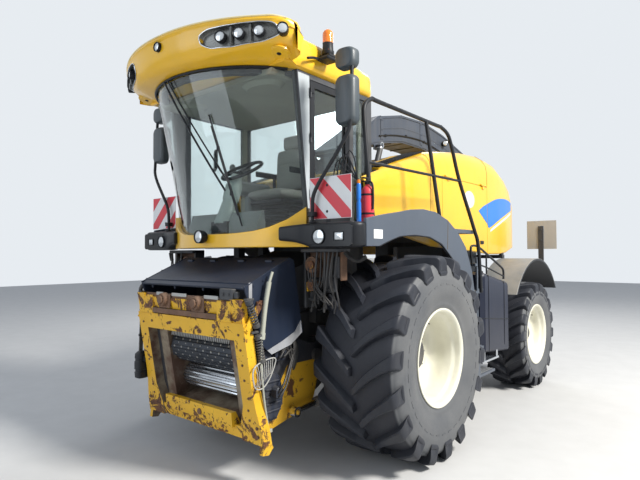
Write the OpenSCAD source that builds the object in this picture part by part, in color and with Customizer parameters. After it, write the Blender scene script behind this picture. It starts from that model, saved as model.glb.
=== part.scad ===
// Self-propelled forage harvester without a header, parked on its wheels.
// Machine axes: x towards its left side, y towards its rear, z up.
// Lengths are measured from the point on the ground below the middle of the front axle.

/* [Wheels and axles] */
// Distance between the front and rear axles
wheelbase = 3200; // [3150:10:3300]
// Front tyre diameter over its lugs
front_tyre_d = 1810; // [1780:2:1830]
// Front tyre width
front_tyre_w = 790; // [760:2:800]
// Distance between the middles of the front tyres
front_track = 2500; // [2480:2:2540]
// Front rim bead seat diameter
front_rim_d = 813; // [780:1:830]
// Front rim width between its flanges
front_rim_w = 686; // [600:1:690]
// Rear tyre diameter over its lugs
rear_tyre_d = 1420; // [1400:2:1440]
// Rear tyre width
rear_tyre_w = 540; // [500:2:560]
// Distance between the middles of the rear tyres
rear_track = 2380; // [2360:2:2440]
// Rear rim bead seat diameter
rear_rim_d = 762; // [740:1:780]
// Rear rim width between its flanges
rear_rim_w = 457; // [420:1:470]
// Lugs on each half of a tread
lug_count = 18; // [14:1:20]
// Height of a tread lug
lug_h = 45; // [30:1:55]
// Front axle tube diameter
front_axle_d = 260; // [220:2:300]
// Rear axle beam height and depth
rear_axle_h = 180; // [150:2:200]
// Distance of each kingpin from the middle of the machine
kingpin_x = 850; // [840:2:870]
// Kingpin diameter
kingpin_d = 60; // [50:1:70]

/* [Chassis] */
// Distance of each rail's middle from the middle of the machine
rail_x = 420; // [400:2:430]
// Width of a rail
rail_w = 110; // [90:2:120]
// Height of a rail
rail_h = 220; // [180:2:240]
// Height of the rails' underside above the ground
rail_z = 1040; // [1030:2:1060]

/* [Cab] */
// Half of the cab's width
cab_half_w = 900; // [880:5:920]
// Height of the cab floor's underside
cab_floor_z = 1940; // [1930:5:1960]
// Height of the underside of the roof
cab_top_z = 3330; // [3300:5:3360]
// How far the windscreen's middle stands in front of its sides
screen_bow = 280; // [240:5:320]
// How far the windscreen leans forward at its top
screen_lean = 380; // [340:5:400]
// Thickness of the glass
glass_t = 8; // [6:1:12]
// Thickness of the cab's walls and pillars
cab_wall = 60; // [50:1:70]
// Height of the roof above its underside
roof_h = 285; // [270:5:300]

/* [Hood] */
// Half of the engine hood's width
hood_half_w = 1050; // [1020:5:1070]
// Thickness of the hood's panels
hood_t = 25; // [18:1:32]
// Gap around an opening panel
panel_gap = 6; // [5.5:0.5:10]

/* [Feeder] */
// Width of the crop passage between the feeder's side plates
feed_w = 880; // [840:5:900]
// Half of the header frame's width
frame_half_w = 735; // [700:5:750]
// Distance of the feeder's pivot in front of the front axle
pivot_fwd = 550; // [540:2:570]
// Height of the feeder's pivot
pivot_z = 900; // [890:2:920]
// Diameter of the feeder's pivot pins
pivot_d = 110; // [90:1:120]
// Radius of the chopping drum's housing
drum_r = 385; // [360:5:395]
// Diameter of the upper feed roll over its teeth
upper_roll_d = 300; // [280:2:310]
// Diameter of the lower feed roll over its ribs
lower_roll_d = 220; // [200:2:230]

/* [Spout] */
// Distance of the turret's axis behind the front axle
turret_y = 600; // [590:5:620]
// Radius of the turret's ring
turret_r = 330; // [300:5:340]
// Width of the spout
spout_w = 400; // [360:5:420]
// Thickness of the spout's walls
spout_t = 12; // [8:1:16]
// Reach of the spout behind the turret's axis, without its deflector
spout_reach = 4000; // [3900:10:4100]
// Length of the deflector at the spout's end
deflector_len = 640; // [560:10:700]

/* [Platform] */
// Distance of the fenders' outer faces from the middle of the machine
fender_x = 1455; // [1440:5:1470]
// Height of the walkway's top
walkway_z = 2070; // [2060:5:2090]
// Diameter of the handrail tube
rail_d = 38; // [30:1:45]

/* [Hidden] */

$fn = 48;

front_axle_z = front_tyre_d / 2;
rear_axle_z = rear_tyre_d / 2;
front_wheel_x = front_track / 2;
rear_wheel_x = rear_track / 2;
front_reach = 1830;
rear_reach = turret_y + spout_reach + deflector_len;
middle_y = (rear_reach - front_reach) / 2;
pin_gap = 0.05;
face_gap = 0.3;
pivot_y = -pivot_fwd;

yellow = "#e8b010";
dark = "#3a3f48";
grey = "#6d7278";
black = "#222222";
steel = "#9a9ea2";
cream = "#e6e3c8";
red = "#b03030";

// Shapes that repeat

// A quarter circle's points about a centre, from a start angle
function corner(cx, cz, r, start, steps = 4) =
    [for (i = [0 : steps]) [cx + r * cos(start + 90 * i / steps), cz + r * sin(start + 90 * i / steps)]];

// A rounded rectangle across the machine at station y: half width, bottom, top, bottom and top corner radii
function round_ring(y, half_w, z0, z1, r0, r1) =
    [for (p = concat(
        corner(half_w - r1, z1 - r1, r1, 0), corner(-half_w + r1, z1 - r1, r1, 90),
        corner(-half_w + r0, z0 + r0, r0, 180), corner(half_w - r0, z0 + r0, r0, 270)))
        [p[0], y, p[1]]];

// A closed solid through rings that all have the same number of points
module loft(rings, turned = 1000) {
    n = len(rings[0]);
    last = len(rings) - 1;
    points = [for (ring = rings) each ring];
    sides = [for (k = [0 : last - 1]) for (i = [0 : n - 1]) let (j = (i + 1) % n)
        each i < turned
            ? [[k * n + i, k * n + j, (k + 1) * n + j], [k * n + i, (k + 1) * n + j, (k + 1) * n + i]]
            : [[k * n + i, k * n + j, (k + 1) * n + i], [k * n + j, (k + 1) * n + j, (k + 1) * n + i]]];
    front = [for (i = [0 : n - 1]) n - 1 - i];
    back = [for (i = [0 : n - 1]) last * n + i];
    polyhedron(points, concat([front, back], sides));
}

// A box from its lowest and highest corners
module box(low, high) {
    translate(low) cube(high - low);
}

// The same piece on both sides of the machine
module both_sides() {
    children();
    mirror([1, 0, 0]) children();
}

// A cylinder across the machine, from x0 to x1
module cross_bar(x0, x1, y, z, d) {
    translate([x0, y, z]) rotate([0, 90, 0]) cylinder(h = x1 - x0, d = d);
}

// A side profile in y and z, given thickness across the machine from x0 to x1
module side_plate(x0, x1, points) {
    translate([x0, 0, 0]) rotate([90, 0, 90]) linear_extrude(x1 - x0) polygon(points);
}

// A round bar between two points
module bar(a, b, d) {
    v = b - a;
    h = norm(v);
    translate(a) rotate([0, acos(v[2] / h), atan2(v[1], v[0])]) cylinder(h = h, d = d);
}

// Unit vector
function unit(v) = v / norm(v);

// Rings of a tube swept through points, mitred at its bends; hint is a direction that no stretch runs along
function tube_rings(points, r, hint, n) =
    [for (i = [0 : len(points) - 1]) let (
        before = unit(i == 0 ? points[1] - points[0] : points[i] - points[i - 1]),
        after = unit(i == len(points) - 1 ? points[i] - points[i - 1] : points[i + 1] - points[i]),
        mitre = unit(before + after), u = unit(cross(hint, before)), v = cross(before, u))
        [for (k = [0 : n - 1]) let (a = 360 * k / n, q = r * (cos(a) * u - sin(a) * v))
            points[i] + q - before * ((q * mitre) / (before * mitre))]];

// A bent tube through points
module tube_path(points, d, hint = [1, 0, 0], sides = 10) {
    loft(tube_rings(points, d / 2, hint, sides));
}

// Wheels

// Half section of a tyre: across its width and out along its radius
module tyre_section(d, w, rim_d, rim_w) {
    bead = rim_d / 2;
    wall = d / 2 - bead;
    half = [
        [rim_w / 2, bead], [rim_w / 2, bead + 40], [w * 0.47, bead + wall * 0.25],
        [w * 0.5, bead + wall * 0.45], [w * 0.49, bead + wall * 0.68],
        [w * 0.455, d / 2 - lug_h * 2], [w * 0.40, d / 2 - lug_h * 1.25], [w * 0.2, d / 2 - lug_h * 1.02],
        [0, d / 2 - lug_h]];
    n = len(half) - 1;
    polygon(concat(half, [for (i = [1 : n]) [-half[n - i][0], half[n - i][1]]]));
}

// Stations of a tread lug: share of the half width, share of its sweep, drop of its top in lug heights,
// half width of its top and of its root
lug_stations = [[0.03, 0, 0, 22, 34], [0.36, 0.42, 0.02, 24, 36], [0.70, 0.76, 0.1, 27, 40],
    [0.93, 0.95, 0.4, 30, 44], [1, 1, 1.3, 30, 42]];

// One lug on the left half of a tread, from the middle to the shoulder; its first corner is at angle a
module lug(d, w, a, sweep) {
    loft([for (s = lug_stations) let (top = d / 2 - s[2] * lug_h,
        low = d / 2 - lug_h * (s[0] < 0.9 ? 1.5 : 2.6),
        mid = a - sweep * s[1], t = s[3] * 57.3 / top, g = s[4] * 57.3 / top)
        [for (p = [[low, mid + g], [top, mid + t], [top, mid - t], [low, mid - g]])
            [s[0] * w / 2, p[0] * cos(p[1]), p[0] * sin(p[1])]]]);
}

module tyre(x, y, z, d, w, rim_d, rim_w) {
    pitch = 360 / lug_count;
    sweep = 0.75 * (w / 2) * 57.3 / (d / 2);
    lead = lug_stations[0][3] * 57.3 / (d / 2);
    color(black) translate([x, y, z]) {
        rotate([0, 90, 0]) rotate_extrude($fn = 96) rotate(90) mirror([0, 1])
            tyre_section(d, w, rim_d, rim_w);
        for (i = [0 : lug_count - 1]) lug(d, w, -90 + lead + i * pitch, sweep);
        mirror([1, 0, 0]) for (i = [0 : lug_count - 1]) lug(d, w, -90 + lead + (i + 0.5) * pitch, sweep);
    }
}

// A rim: a barrel with a flange at each edge, and a disc with its hub bore
module rim(x, y, z, d, w, disc_x, hub_d) {
    barrel_t = 12;
    flange_t = 14;
    flange_h = 26;
    disc_t = 22;
    color(cream) translate([x, y, z]) rotate([0, 90, 0]) rotate_extrude($fn = 96) {
        translate([d / 2 - barrel_t, -w / 2]) square([barrel_t, w]);
        for (s = [-1, 1]) translate([d / 2 - barrel_t, s > 0 ? w / 2 : -w / 2 - flange_t])
            square([barrel_t + flange_h, flange_t]);
        translate([hub_d / 2, disc_x - disc_t]) square([d / 2 - barrel_t / 2 - hub_d / 2, disc_t]);
    }
}

front_disc_x = 40;
front_hub_d = 280;
rear_disc_x = 40;
rear_hub_d = 200;

module front_tyre_left() tyre(front_wheel_x, 0, front_axle_z, front_tyre_d, front_tyre_w, front_rim_d,
    front_rim_w);
module front_tyre_right() mirror([1, 0, 0]) front_tyre_left();
module rear_tyre_left() tyre(rear_wheel_x, wheelbase, rear_axle_z, rear_tyre_d, rear_tyre_w,
    rear_rim_d, rear_rim_w);
module rear_tyre_right() mirror([1, 0, 0]) rear_tyre_left();
module front_rim_left()
    rim(front_wheel_x, 0, front_axle_z, front_rim_d, front_rim_w, front_disc_x, front_hub_d);
module front_rim_right() mirror([1, 0, 0]) front_rim_left();
module rear_rim_left()
    rim(rear_wheel_x, wheelbase, rear_axle_z, rear_rim_d, rear_rim_w, rear_disc_x, rear_hub_d);
module rear_rim_right() mirror([1, 0, 0]) rear_rim_left();

// Axles

hub_cap_t = 60;

// The driven front axle: gearbox, tube, final drives and the hubs that the rims turn on
module front_axle() {
    disc_in = front_wheel_x + front_disc_x - 22;
    color(dark) {
        cross_bar(-700, 700, 0, front_axle_z, front_axle_d);
        both_sides() {
            cross_bar(660, disc_in - face_gap, 0, front_axle_z, 460);
            box([730, 40, lift_base[1] - 60], [760, 200, front_axle_z - 125]);
            cross_bar(650, 735, lift_base[0], lift_base[1], 40);
            cross_bar(disc_in - 2, disc_in + 22 + hub_cap_t, 0, front_axle_z, front_hub_d - 2 * pin_gap);
            box([rail_x - rail_w / 2, -150, front_axle_z + 90], [rail_x + rail_w / 2, 150, rail_z]);
        }
        box([-230, -150, front_axle_z - 160], [230, 240, front_axle_z + 140]);
    }
}

knuckle_boss_h = 90;

// The rear axle beam, its pivot bracket and the fork ends that hold the kingpins
module rear_axle() {
    color(dark) {
        box([-kingpin_x + 121, wheelbase - 90, rear_axle_z - rear_axle_h / 2],
            [kingpin_x - 121, wheelbase + 90, rear_axle_z + rear_axle_h / 2]);
        both_sides() box([kingpin_x - 160, wheelbase - 80, rear_axle_z - knuckle_boss_h - 40],
            [kingpin_x - 120, wheelbase + 80, rear_axle_z + knuckle_boss_h + 40]);
        both_sides() {
            for (s = [-1, 1]) difference() {
                hull() {
                    translate([kingpin_x, wheelbase, rear_axle_z + s * (knuckle_boss_h + 20)])
                        cylinder(h = 40, d = 130, center = true);
                    box([kingpin_x - 160, wheelbase - 80, rear_axle_z + s * (knuckle_boss_h + 20) - 20],
                        [kingpin_x - 120, wheelbase + 80, rear_axle_z + s * (knuckle_boss_h + 20) + 20]);
                }
                translate([kingpin_x, wheelbase, rear_axle_z])
                    cylinder(h = 600, d = kingpin_d + 0.1, center = true);
            }
        }
        box([-260, wheelbase - 160, rear_axle_z + rear_axle_h / 2 - 1], [260, wheelbase + 160, rail_z]);
        both_sides() box([200, wheelbase - 160, rail_z - 60],
            [rail_x + rail_w / 2, wheelbase + 160, rail_z]);
    }
}

steer_arm_back = 260;

// A steering knuckle: kingpin, boss, hub spindle and steering arm
module knuckle() {
    disc_in = rear_wheel_x + rear_disc_x - 22;
    color(dark) {
        translate([kingpin_x, wheelbase, rear_axle_z]) {
            cylinder(h = 2 * (knuckle_boss_h - face_gap), d = 120, center = true);
            cylinder(h = 2 * knuckle_boss_h + 90, d = kingpin_d, center = true);
        }
        cross_bar(kingpin_x, disc_in - face_gap, wheelbase, rear_axle_z, 110);
        cross_bar(disc_in - 60, disc_in - face_gap, wheelbase, rear_axle_z, 300);
        cross_bar(disc_in - 61, disc_in + 22 + hub_cap_t, wheelbase, rear_axle_z, rear_hub_d - 2 * pin_gap);
        hull() {
            translate([kingpin_x, wheelbase, rear_axle_z - 20]) cylinder(h = 36, d = 100, center = true);
            translate([kingpin_x, wheelbase + steer_arm_back, rear_axle_z - 20])
                cylinder(h = 36, d = 70, center = true);
        }
        translate([kingpin_x, wheelbase + steer_arm_back, rear_axle_z - 55])
            cylinder(h = 60, d = 30, center = true);
    }
}
module knuckle_left() knuckle();
module knuckle_right() mirror([1, 0, 0]) knuckle();

// The track rod between the two steering arms
module tie_rod() {
    end_x = kingpin_x;
    end_y = wheelbase + steer_arm_back;
    rod_z = rear_axle_z - 64;
    color(steel) {
        cross_bar(-end_x + 30, end_x - 30, end_y, rod_z, 40);
        both_sides() difference() {
            translate([end_x, end_y, rod_z]) cylinder(h = 50, d = 80, center = true);
            translate([end_x, end_y, rod_z]) cylinder(h = 60, d = 30.1, center = true);
        }
    }
}

// Chassis and drive line

chassis_front = -520;
chassis_rear = 3960;
rear_arch_r = 1010;
rear_fender_t = 30;
rear_fender_z = rear_axle_z + rear_arch_r + rear_fender_t;

module chassis() {
    top = rail_z + rail_h;
    color(dark) {
        both_sides() {
            box([rail_x - rail_w / 2, chassis_front, rail_z], [rail_x + rail_w / 2, chassis_rear, top]);
            // posts that carry the cab
            for (y = [-510, -150]) {
                box([rail_x, y, top - 80], [580, y + 90, top]);
                box([500, y, top - 80], [580, y + 90, cab_floor_z]);
            }
            // outriggers under the walkway and the tanks
            box([rail_x, 1040, rail_z + 40], [1180, 1140, rail_z + 160]);
            box([rail_x, 1780, rail_z + 60], [909.7, 1860, rail_z + 140]);
            box([1100, 1040, rail_z + 160], [1180, 1140, walkway_z - 40]);
            // carriers of the rear fenders and the hood
            box([rail_x - 40, wheelbase - 40, top], [rail_x + 40, wheelbase + 40, rear_fender_z + 50]);
            box([rail_x - 40, wheelbase - 40, rear_fender_z],
                [hood_half_w - 70, wheelbase + 40, rear_fender_z + 50]);
            box([930, wheelbase - 40, rear_fender_z + 40], [969, wheelbase + 40, 1880]);
            box([rail_x - 40, 1060, top], [rail_x + 40, 1140, 1950]);
            box([rail_x - 40, 1060, 1900], [hood_half_w - hood_t - 0.3, 1140, 1950]);
        }
        for (y = [760, 1900, 3840])
            box([-rail_x, y, rail_z + 20], [rail_x, y + 120, top - 20]);
        // rear ballast and the towing jaw
        box([-500, 3860, rail_z - 180], [500, 4040, top]);
        difference() {
            box([-90, 4030, rail_z - 170], [90, 4180, rail_z - 20]);
            box([-91, 4080, rail_z - 125], [91, 4181, rail_z - 65]);
            translate([0, 4130, rail_z - 200]) cylinder(h = 200, d = 40);
        }
    }
}

// The engine stands ahead of the posts over the rear axle
engine_length = 840;
engine_space = 80;

module engine_block() {
    rear = wheelbase - engine_space;
    color(grey) box([-620, rear - engine_length, rail_z + rail_h], [620, rear, rail_z + rail_h + 1080]);
}

// The chopping drum's housing, the crop duct over the axle and the tower under the spout
module cutter_housing() {
    inner = 170;
    color(dark) difference() {
        union() {
            cross_bar(-feed_w / 2 - 60, feed_w / 2 + 60, pivot_y, pivot_z, 2 * drum_r);
            side_plate(-feed_w / 2 - 40, feed_w / 2 + 40, [
                [pivot_y + 40, pivot_z - 120], [-240, pivot_z + 160], [320, rail_z + 240], [320, 2100],
                [0, 2100], [0, 1860], [pivot_y - 120, 1700], [pivot_y - 200, pivot_z + 260]]);
            box([-230, 310, rail_z + 200], [230, 900, 1700]);
            translate([0, turret_y, 1690]) cylinder(h = 940, r = 280);
            translate([0, turret_y, 2600]) cylinder(h = 60, r = turret_r);
            translate([0, turret_y, 2560]) cylinder(h = 10, r = well_r - 10);
            box([-rail_x, 300, rail_z + rail_h], [rail_x, 380, rail_z + rail_h + 300]);
            both_sides() cross_bar(feed_w / 2 + 50, 640, pivot_y, pivot_z, pivot_d);
            both_sides() box([rail_x - rail_w / 2, pivot_y - 20, pivot_z + 200],
                [rail_x + rail_w / 2, chassis_front, rail_z + rail_h]);
        }
        translate([0, turret_y, 2300]) cylinder(h = 400, r = 225);
        both_sides() box([rail_x - rail_w / 2 - 2, chassis_front, rail_z - 1], [620, 400, rail_z + rail_h]);
    }
}

// Cab

screen_side_y = -980;
cab_rear_y = -40;
cab_head_z = cab_top_z - 45;
door_front_y = -950;
door_rear_y = -400;
door_sill_z = walkway_z + 10;

// The windscreen's side edge and its middle at share t of its height
function screen_y(t) = screen_side_y - screen_lean * t * 0.37;
function screen_mid(t) = screen_side_y - screen_bow - screen_lean * t;

// Points of the windscreen's plan arc at share t of its height, moved in by an offset
function screen_arc(t, offset, steps = 12) =
    let (half = cab_half_w - 20 - offset, sag = screen_y(t) - screen_mid(t),
        r = (half * half + sag * sag) / (2 * sag),
        cy = screen_mid(t) + r, a = asin(half / r))
    [for (i = [0 : steps]) let (b = a - 2 * a * i / steps) [r * sin(b), cy - r * cos(b) + offset]];

screen_low_z = 2000;

// Height of the windscreen's lower edge: it rises from the middle to the sides
function screen_foot(x) = screen_low_z + 230 * pow(abs(x) / cab_half_w, 4);

module windscreen() {
    low = screen_arc(0, 0);
    low_in = screen_arc(0, glass_t);
    top = screen_arc(1, 0);
    top_in = screen_arc(1, glass_t);
    n = len(low);
    rings = [for (i = [0 : n - 1]) [
        [low[i][0], low[i][1], screen_foot(low[i][0])],
        [low_in[i][0], low_in[i][1], screen_foot(low[i][0])],
        [top_in[i][0], top_in[i][1], cab_top_z],
        [top[i][0], top[i][1], cab_top_z]]];
    color("lightblue", 0.4) loft(rings, 2);
}

// The plan of the cab's floor
module cab_plan(inset = 0) {
    polygon(concat(screen_arc(0, inset + 14),
        [[-cab_half_w + inset, screen_side_y + 40], [-cab_half_w + inset, cab_rear_y - inset],
         [cab_half_w - inset, cab_rear_y - inset], [cab_half_w - inset, screen_side_y + 40]]));
}

module cab_shell() {
    sill_z = 2130;
    head_z = cab_head_z;
    pillar_y = screen_side_y;
    color(dark) {
        // floor
        translate([0, 0, cab_floor_z]) linear_extrude(45) cab_plan();
        // rear wall with its window
        difference() {
            box([-cab_half_w, cab_rear_y - cab_wall, cab_floor_z], [cab_half_w, cab_rear_y, cab_top_z]);
            box([-cab_half_w + 90, cab_rear_y - cab_wall - 1, 2500],
                [cab_half_w - 90, cab_rear_y + 1, head_z]);
        }
        // right wall with its window, and the left wall with the doorway
        difference() {
            box([-cab_half_w, pillar_y + 20, cab_floor_z], [-cab_half_w + cab_wall, cab_rear_y, cab_top_z]);
            box([-cab_half_w - 1, pillar_y + 100, sill_z],
                [-cab_half_w + cab_wall + 1, cab_rear_y - 90, head_z]);
        }
        difference() {
            box([cab_half_w - cab_wall, pillar_y + 20, cab_floor_z], [cab_half_w, cab_rear_y, cab_top_z]);
            box([cab_half_w - cab_wall - 1, door_front_y, door_sill_z],
                [cab_half_w + 1, door_rear_y, head_z]);
            box([cab_half_w - cab_wall - 1, door_rear_y + 60, sill_z],
                [cab_half_w + 1, cab_rear_y - 90, head_z]);
        }
        // front corner pillars, leaning with the windscreen
        hinge_base_z(door_hinge, door_hinge_z, cab_half_w - 10);
        both_sides() side_plate(cab_half_w - cab_wall, cab_half_w, [
            [screen_y(0) + glass_t + 0.4, cab_floor_z], [door_front_y, cab_floor_z],
                [door_front_y, cab_top_z],
            [screen_y(1) + glass_t + 0.4, cab_top_z],
                [screen_y(0) + glass_t + 0.4, screen_foot(cab_half_w - 20)]]);
        // roof frame
        difference() {
            translate([0, 0, head_z]) linear_extrude(cab_top_z - head_z)
                polygon(concat(screen_arc(1, glass_t + 30),
                [[-cab_half_w, screen_side_y], [-cab_half_w, cab_rear_y], [cab_half_w, cab_rear_y],
                    [cab_half_w, screen_side_y]]));
            translate([0, 0, head_z - 1]) linear_extrude(cab_top_z - head_z + 2)
                polygon(concat(screen_arc(1, glass_t + 80),
                [[-cab_half_w + cab_wall, screen_side_y], [-cab_half_w + cab_wall, cab_rear_y - cab_wall],
                 [cab_half_w - cab_wall, cab_rear_y - cab_wall], [cab_half_w - cab_wall, screen_side_y]]));
        }
    }
}

module side_windows() {
    color("lightblue", 0.4) {
        box([-cab_half_w + 10, screen_side_y + 100, 2130],
            [-cab_half_w + 10 + glass_t, cab_rear_y - 90, cab_head_z]);
        box([cab_half_w - 10 - glass_t, door_rear_y + 60, 2130],
            [cab_half_w - 10, cab_rear_y - 90, cab_head_z]);
        box([-cab_half_w + 90, cab_rear_y - 30, 2500],
            [cab_half_w - 90, cab_rear_y - 30 + glass_t, cab_head_z]);
    }
}

door_t = 40;
hinge_d = 20;
hinge_pin_d = 10;
door_hinge = [cab_half_w + 14, door_front_y - 4];
door_hinge_z = [2280, 2750, cab_top_z - 200];

// Hinges on an upright pin: the fixed knuckle with its pin, and the leaf's bored knuckle above it
module hinge_base_z(axis, heights, reach) {
    for (z = heights) {
        translate([axis[0], axis[1], z]) cylinder(h = 40, d = hinge_d);
        translate([axis[0], axis[1], z]) cylinder(h = 84, d = hinge_pin_d);
        box([reach, axis[1] - 8, z], [axis[0], axis[1] + 8 - 6, z + 40]);
    }
}
module hinge_leaf_z(axis, heights, corner_at) {
    for (z = heights) difference() {
        union() {
            translate([axis[0], axis[1], z + 40 + face_gap]) cylinder(h = 40, d = hinge_d);
            box([cab_half_w + 0.5, axis[1], z + 40 + face_gap],
                [axis[0] + 7, corner_at[1] + 30, z + 80 + face_gap]);
            box([corner_at[0], corner_at[1], z + 40 + face_gap],
                [axis[0], corner_at[1] + 30, z + 80 + face_gap]);
        }
        translate([axis[0], axis[1], z]) cylinder(h = 100, d = hinge_pin_d + 2 * pin_gap);
    }
}

module cab_door() {
    gap = panel_gap;
    low = [cab_half_w - door_t, door_front_y + gap, door_sill_z + gap];
    high = [cab_half_w, door_rear_y - gap, cab_head_z - gap];
    color(black) {
        difference() {
            box(low, high);
            box([low[0] - 1, low[1] + 55, low[2] + 60], [high[0] + 1, high[1] - 55, high[2] - 55]);
        }
        box([cab_half_w - 20, door_rear_y - 60, 2540], [cab_half_w + 35, door_rear_y - 30, 2700]);
        hinge_leaf_z(door_hinge, door_hinge_z, [cab_half_w - 10, door_front_y + gap]);
    }
}

module door_glass() {
    color("lightblue", 0.4) box([cab_half_w - 26, door_front_y + panel_gap + 55,
        door_sill_z + 60 + panel_gap],
        [cab_half_w - 26 + glass_t, door_rear_y - panel_gap - 55, cab_head_z - 55 - panel_gap]);
}

// The main roof along the machine: y, half width, lowering of its top, lower and upper corner radii
roof_stations = [
    [-1300, 940, 15, 20, 60], [-1150, 950, 15, 60, 70], [-500, 950, 20, 60, 70],
    [-100, 930, 50, 60, 90], [-30, 890, 110, 50, 70]];

// The lamp visor runs across the machine in front of the roof
visor_half = 1100;
visor_round = 90;
visor_x = [1100, 1090, 1060, 1010, 960, 930, 840, 700, 520, 330, 140];

function visor_end(x) = let (d = max(0, abs(x) - visor_half + visor_round))
    visor_round - sqrt(pow(visor_round, 2) - d * d);
function visor_front(x) = -front_reach + 380 * pow(abs(x) / visor_half, 2.2) + visor_end(x);
function visor_rear(x) = abs(x) < 940 ? -1140 : -1230 - visor_end(x);
function visor_low(x) = cab_top_z + 20 + 110 * pow(abs(x) / visor_half, 3) + visor_end(x) * 0.3;
function visor_high(x) = cab_top_z + roof_h - 15 * pow(x / visor_half, 2) - visor_end(x) * 0.3;

// The visor's section at x: its lip, its face, its underside and its rear
function visor_ring(x) = let (y = visor_front(x), low = visor_low(x), high = visor_high(x),
    foot = cab_top_z + 2 + max(0, abs(x) - 880) * 0.2,
        back = max(screen_top_y(min(abs(x), 870)) - 15, y + 140))
    [for (p = [[y + 22, high], [y + 4, high - 10], [y, high - 30], [y + 14, high - 50],
        [y + 18, (low + high) / 2],
        [y + 38, low + 70], [y + 68, low + 22], [y + 110, low], [min(back, visor_rear(x) - 5), foot],
        [visor_rear(x), foot], [visor_rear(x), high - 30], [visor_rear(x) - 40, high]]) [x, p[0], p[1]]];

// The windscreen's upper edge at x
function screen_top_y(x) =
    let (half = cab_half_w - 20, sag = screen_y(1) - screen_mid(1),
        r = (half * half + sag * sag) / (2 * sag))
    screen_mid(1) + r - sqrt(r * r - x * x);

// The pocket in the visor for three lamps: x, height of its lower and upper edge above the cab's top
pocket = [[1035, 150, 200], [1000, 125, 222], [900, 95, 230], [700, 72, 226], [540, 78, 216],
    [480, 105, 190], [460, 130, 165]];

module cab_roof() {
    half = [for (x = visor_x) visor_ring(x)];
    n = len(visor_x);
    color(yellow) difference() {
        union() {
            loft(concat(half, [for (i = [0 : n - 1]) visor_ring(-visor_x[n - 1 - i])]));
            loft([for (s = roof_stations) round_ring(s[0], s[1], cab_top_z + 0.3,
                cab_top_z + roof_h - s[2], s[3], s[4])]);
        }
        both_sides() loft([for (p = pocket) let (y = visor_front(p[0])) [
            [p[0], y - 40, cab_top_z + p[2]], [p[0], y - 40, cab_top_z + p[1]],
            [p[0], y + 62, cab_top_z + p[1]], [p[0], y + 62, cab_top_z + p[2]]]]);
        for (l = roof_lamps) lamp(l, 0.3);
    }
}

// Space between the top of the seat's back and the roof
seat_headroom = 250;

module seat() {
    color(dark) {
        box([-230, -500, cab_floor_z + 45], [230, -120, cab_floor_z + 430]);
        hull() {
            box([-250, -640, cab_floor_z + 430], [250, -160, cab_floor_z + 520]);
            box([-230, -620, cab_floor_z + 520], [230, -180, cab_floor_z + 550]);
        }
        hull() {
            box([-230, -240, cab_floor_z + 540], [230, -160, cab_floor_z + 560]);
            box([-200, -190, cab_top_z - seat_headroom - 20], [200, -120, cab_top_z - seat_headroom]);
        }
    }
}

module steering_console() {
    wheel_c = [0, -900, 2620];
    color(black) {
        box([-110, -1180, cab_floor_z + 45], [110, -1060, 2120]);
        bar([0, -1120, 2080], [0, -960, 2590], 90);
        translate(wheel_c) rotate([30, 0, 0]) {
            rotate_extrude($fn = 48) translate([200, 0]) circle(d = 32, $fn = 20);
            for (a = [90, 210, 330]) rotate([0, 0, a]) translate([0, -15, -10]) cube([200, 30, 20]);
            translate([0, 0, -50]) cylinder(h = 62, d = 90);
        }
    }
}

// The yellow apron below the windscreen: a bowed strip that rises towards the sides
module front_apron() {
    outer = screen_arc(0, -34);
    inner = screen_arc(0, -0.4);
    glass = screen_arc(0, 0);
    n = len(outer);
    rings = [for (i = [0 : n - 1]) let (edge = screen_foot(glass[i][0]) - face_gap) [
        [outer[i][0], outer[i][1], 1880], [inner[i][0], inner[i][1], 1880],
        [inner[i][0], inner[i][1], edge], [outer[i][0], outer[i][1], edge]]];
    color(yellow) {
        loft(rings);
        translate([0, 0, 1880]) linear_extrude(cab_floor_z - 1880 - 0.3) polygon(concat(screen_arc(0, -20),
            [[-cab_half_w, screen_side_y + 60], [cab_half_w, screen_side_y + 60]]));
    }
}

box_low_z = 1872;

module light_boxes() {
    color(black) both_sides() difference() {
        translate([0, 0, box_low_z]) linear_extrude(walkway_z - box_low_z) polygon([
            [720, -1165], [860, -1135], [1000, -1070], [1380, -1058], [fender_x - 25, -1020],
                [fender_x, -970],
            [fender_x, -935], [cab_half_w + 30, -935], [720, -1000]]);
        translate([0, 0, box_low_z - 1]) linear_extrude(300) polygon(concat(screen_arc(0, -34.5),
            [[-cab_half_w - 14.5, -850], [cab_half_w + 14.5, -850]]));
        for (l = box_lamps) lamp(l, 0.3);
    }
}

// Round and oblong lamps: x, y, z, diameter and the angle that each faces outwards
box_lamps = [[1090, -1076, 1958, 130, 2], [1290, -1070, 1958, 100, 2]];
visor_lamps = [[640, 148, 18, 90, 22], [780, 158, 18, 90, 27], [920, 164, 18, 90, 32],
    [1072, 172, -8, 90, 42]];
roof_lamps = concat([[0, -front_reach + 2, cab_top_z + 195, 80, 0]], [for (s = [1, -1], l = visor_lamps)
    [s * l[0], visor_front(l[0]) + l[2], cab_top_z + l[1], l[3], s * l[4]]]);
apron_lamp = [-60, -1364.5, 1978, 120, 0];

module lamp(l, gap = 0) {
    translate([l[0], l[1], l[2]]) rotate([0, 0, l[4]]) rotate([-90, 0, 0])
        cylinder(h = 70 + 2 * gap, d = l[3] + 2 * gap, $fn = 32);
}

module lamps() {
    color("white") {
        both_sides() for (l = box_lamps) lamp(l);
        for (l = roof_lamps) lamp(l);
        lamp(apron_lamp);
    }
}

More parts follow.
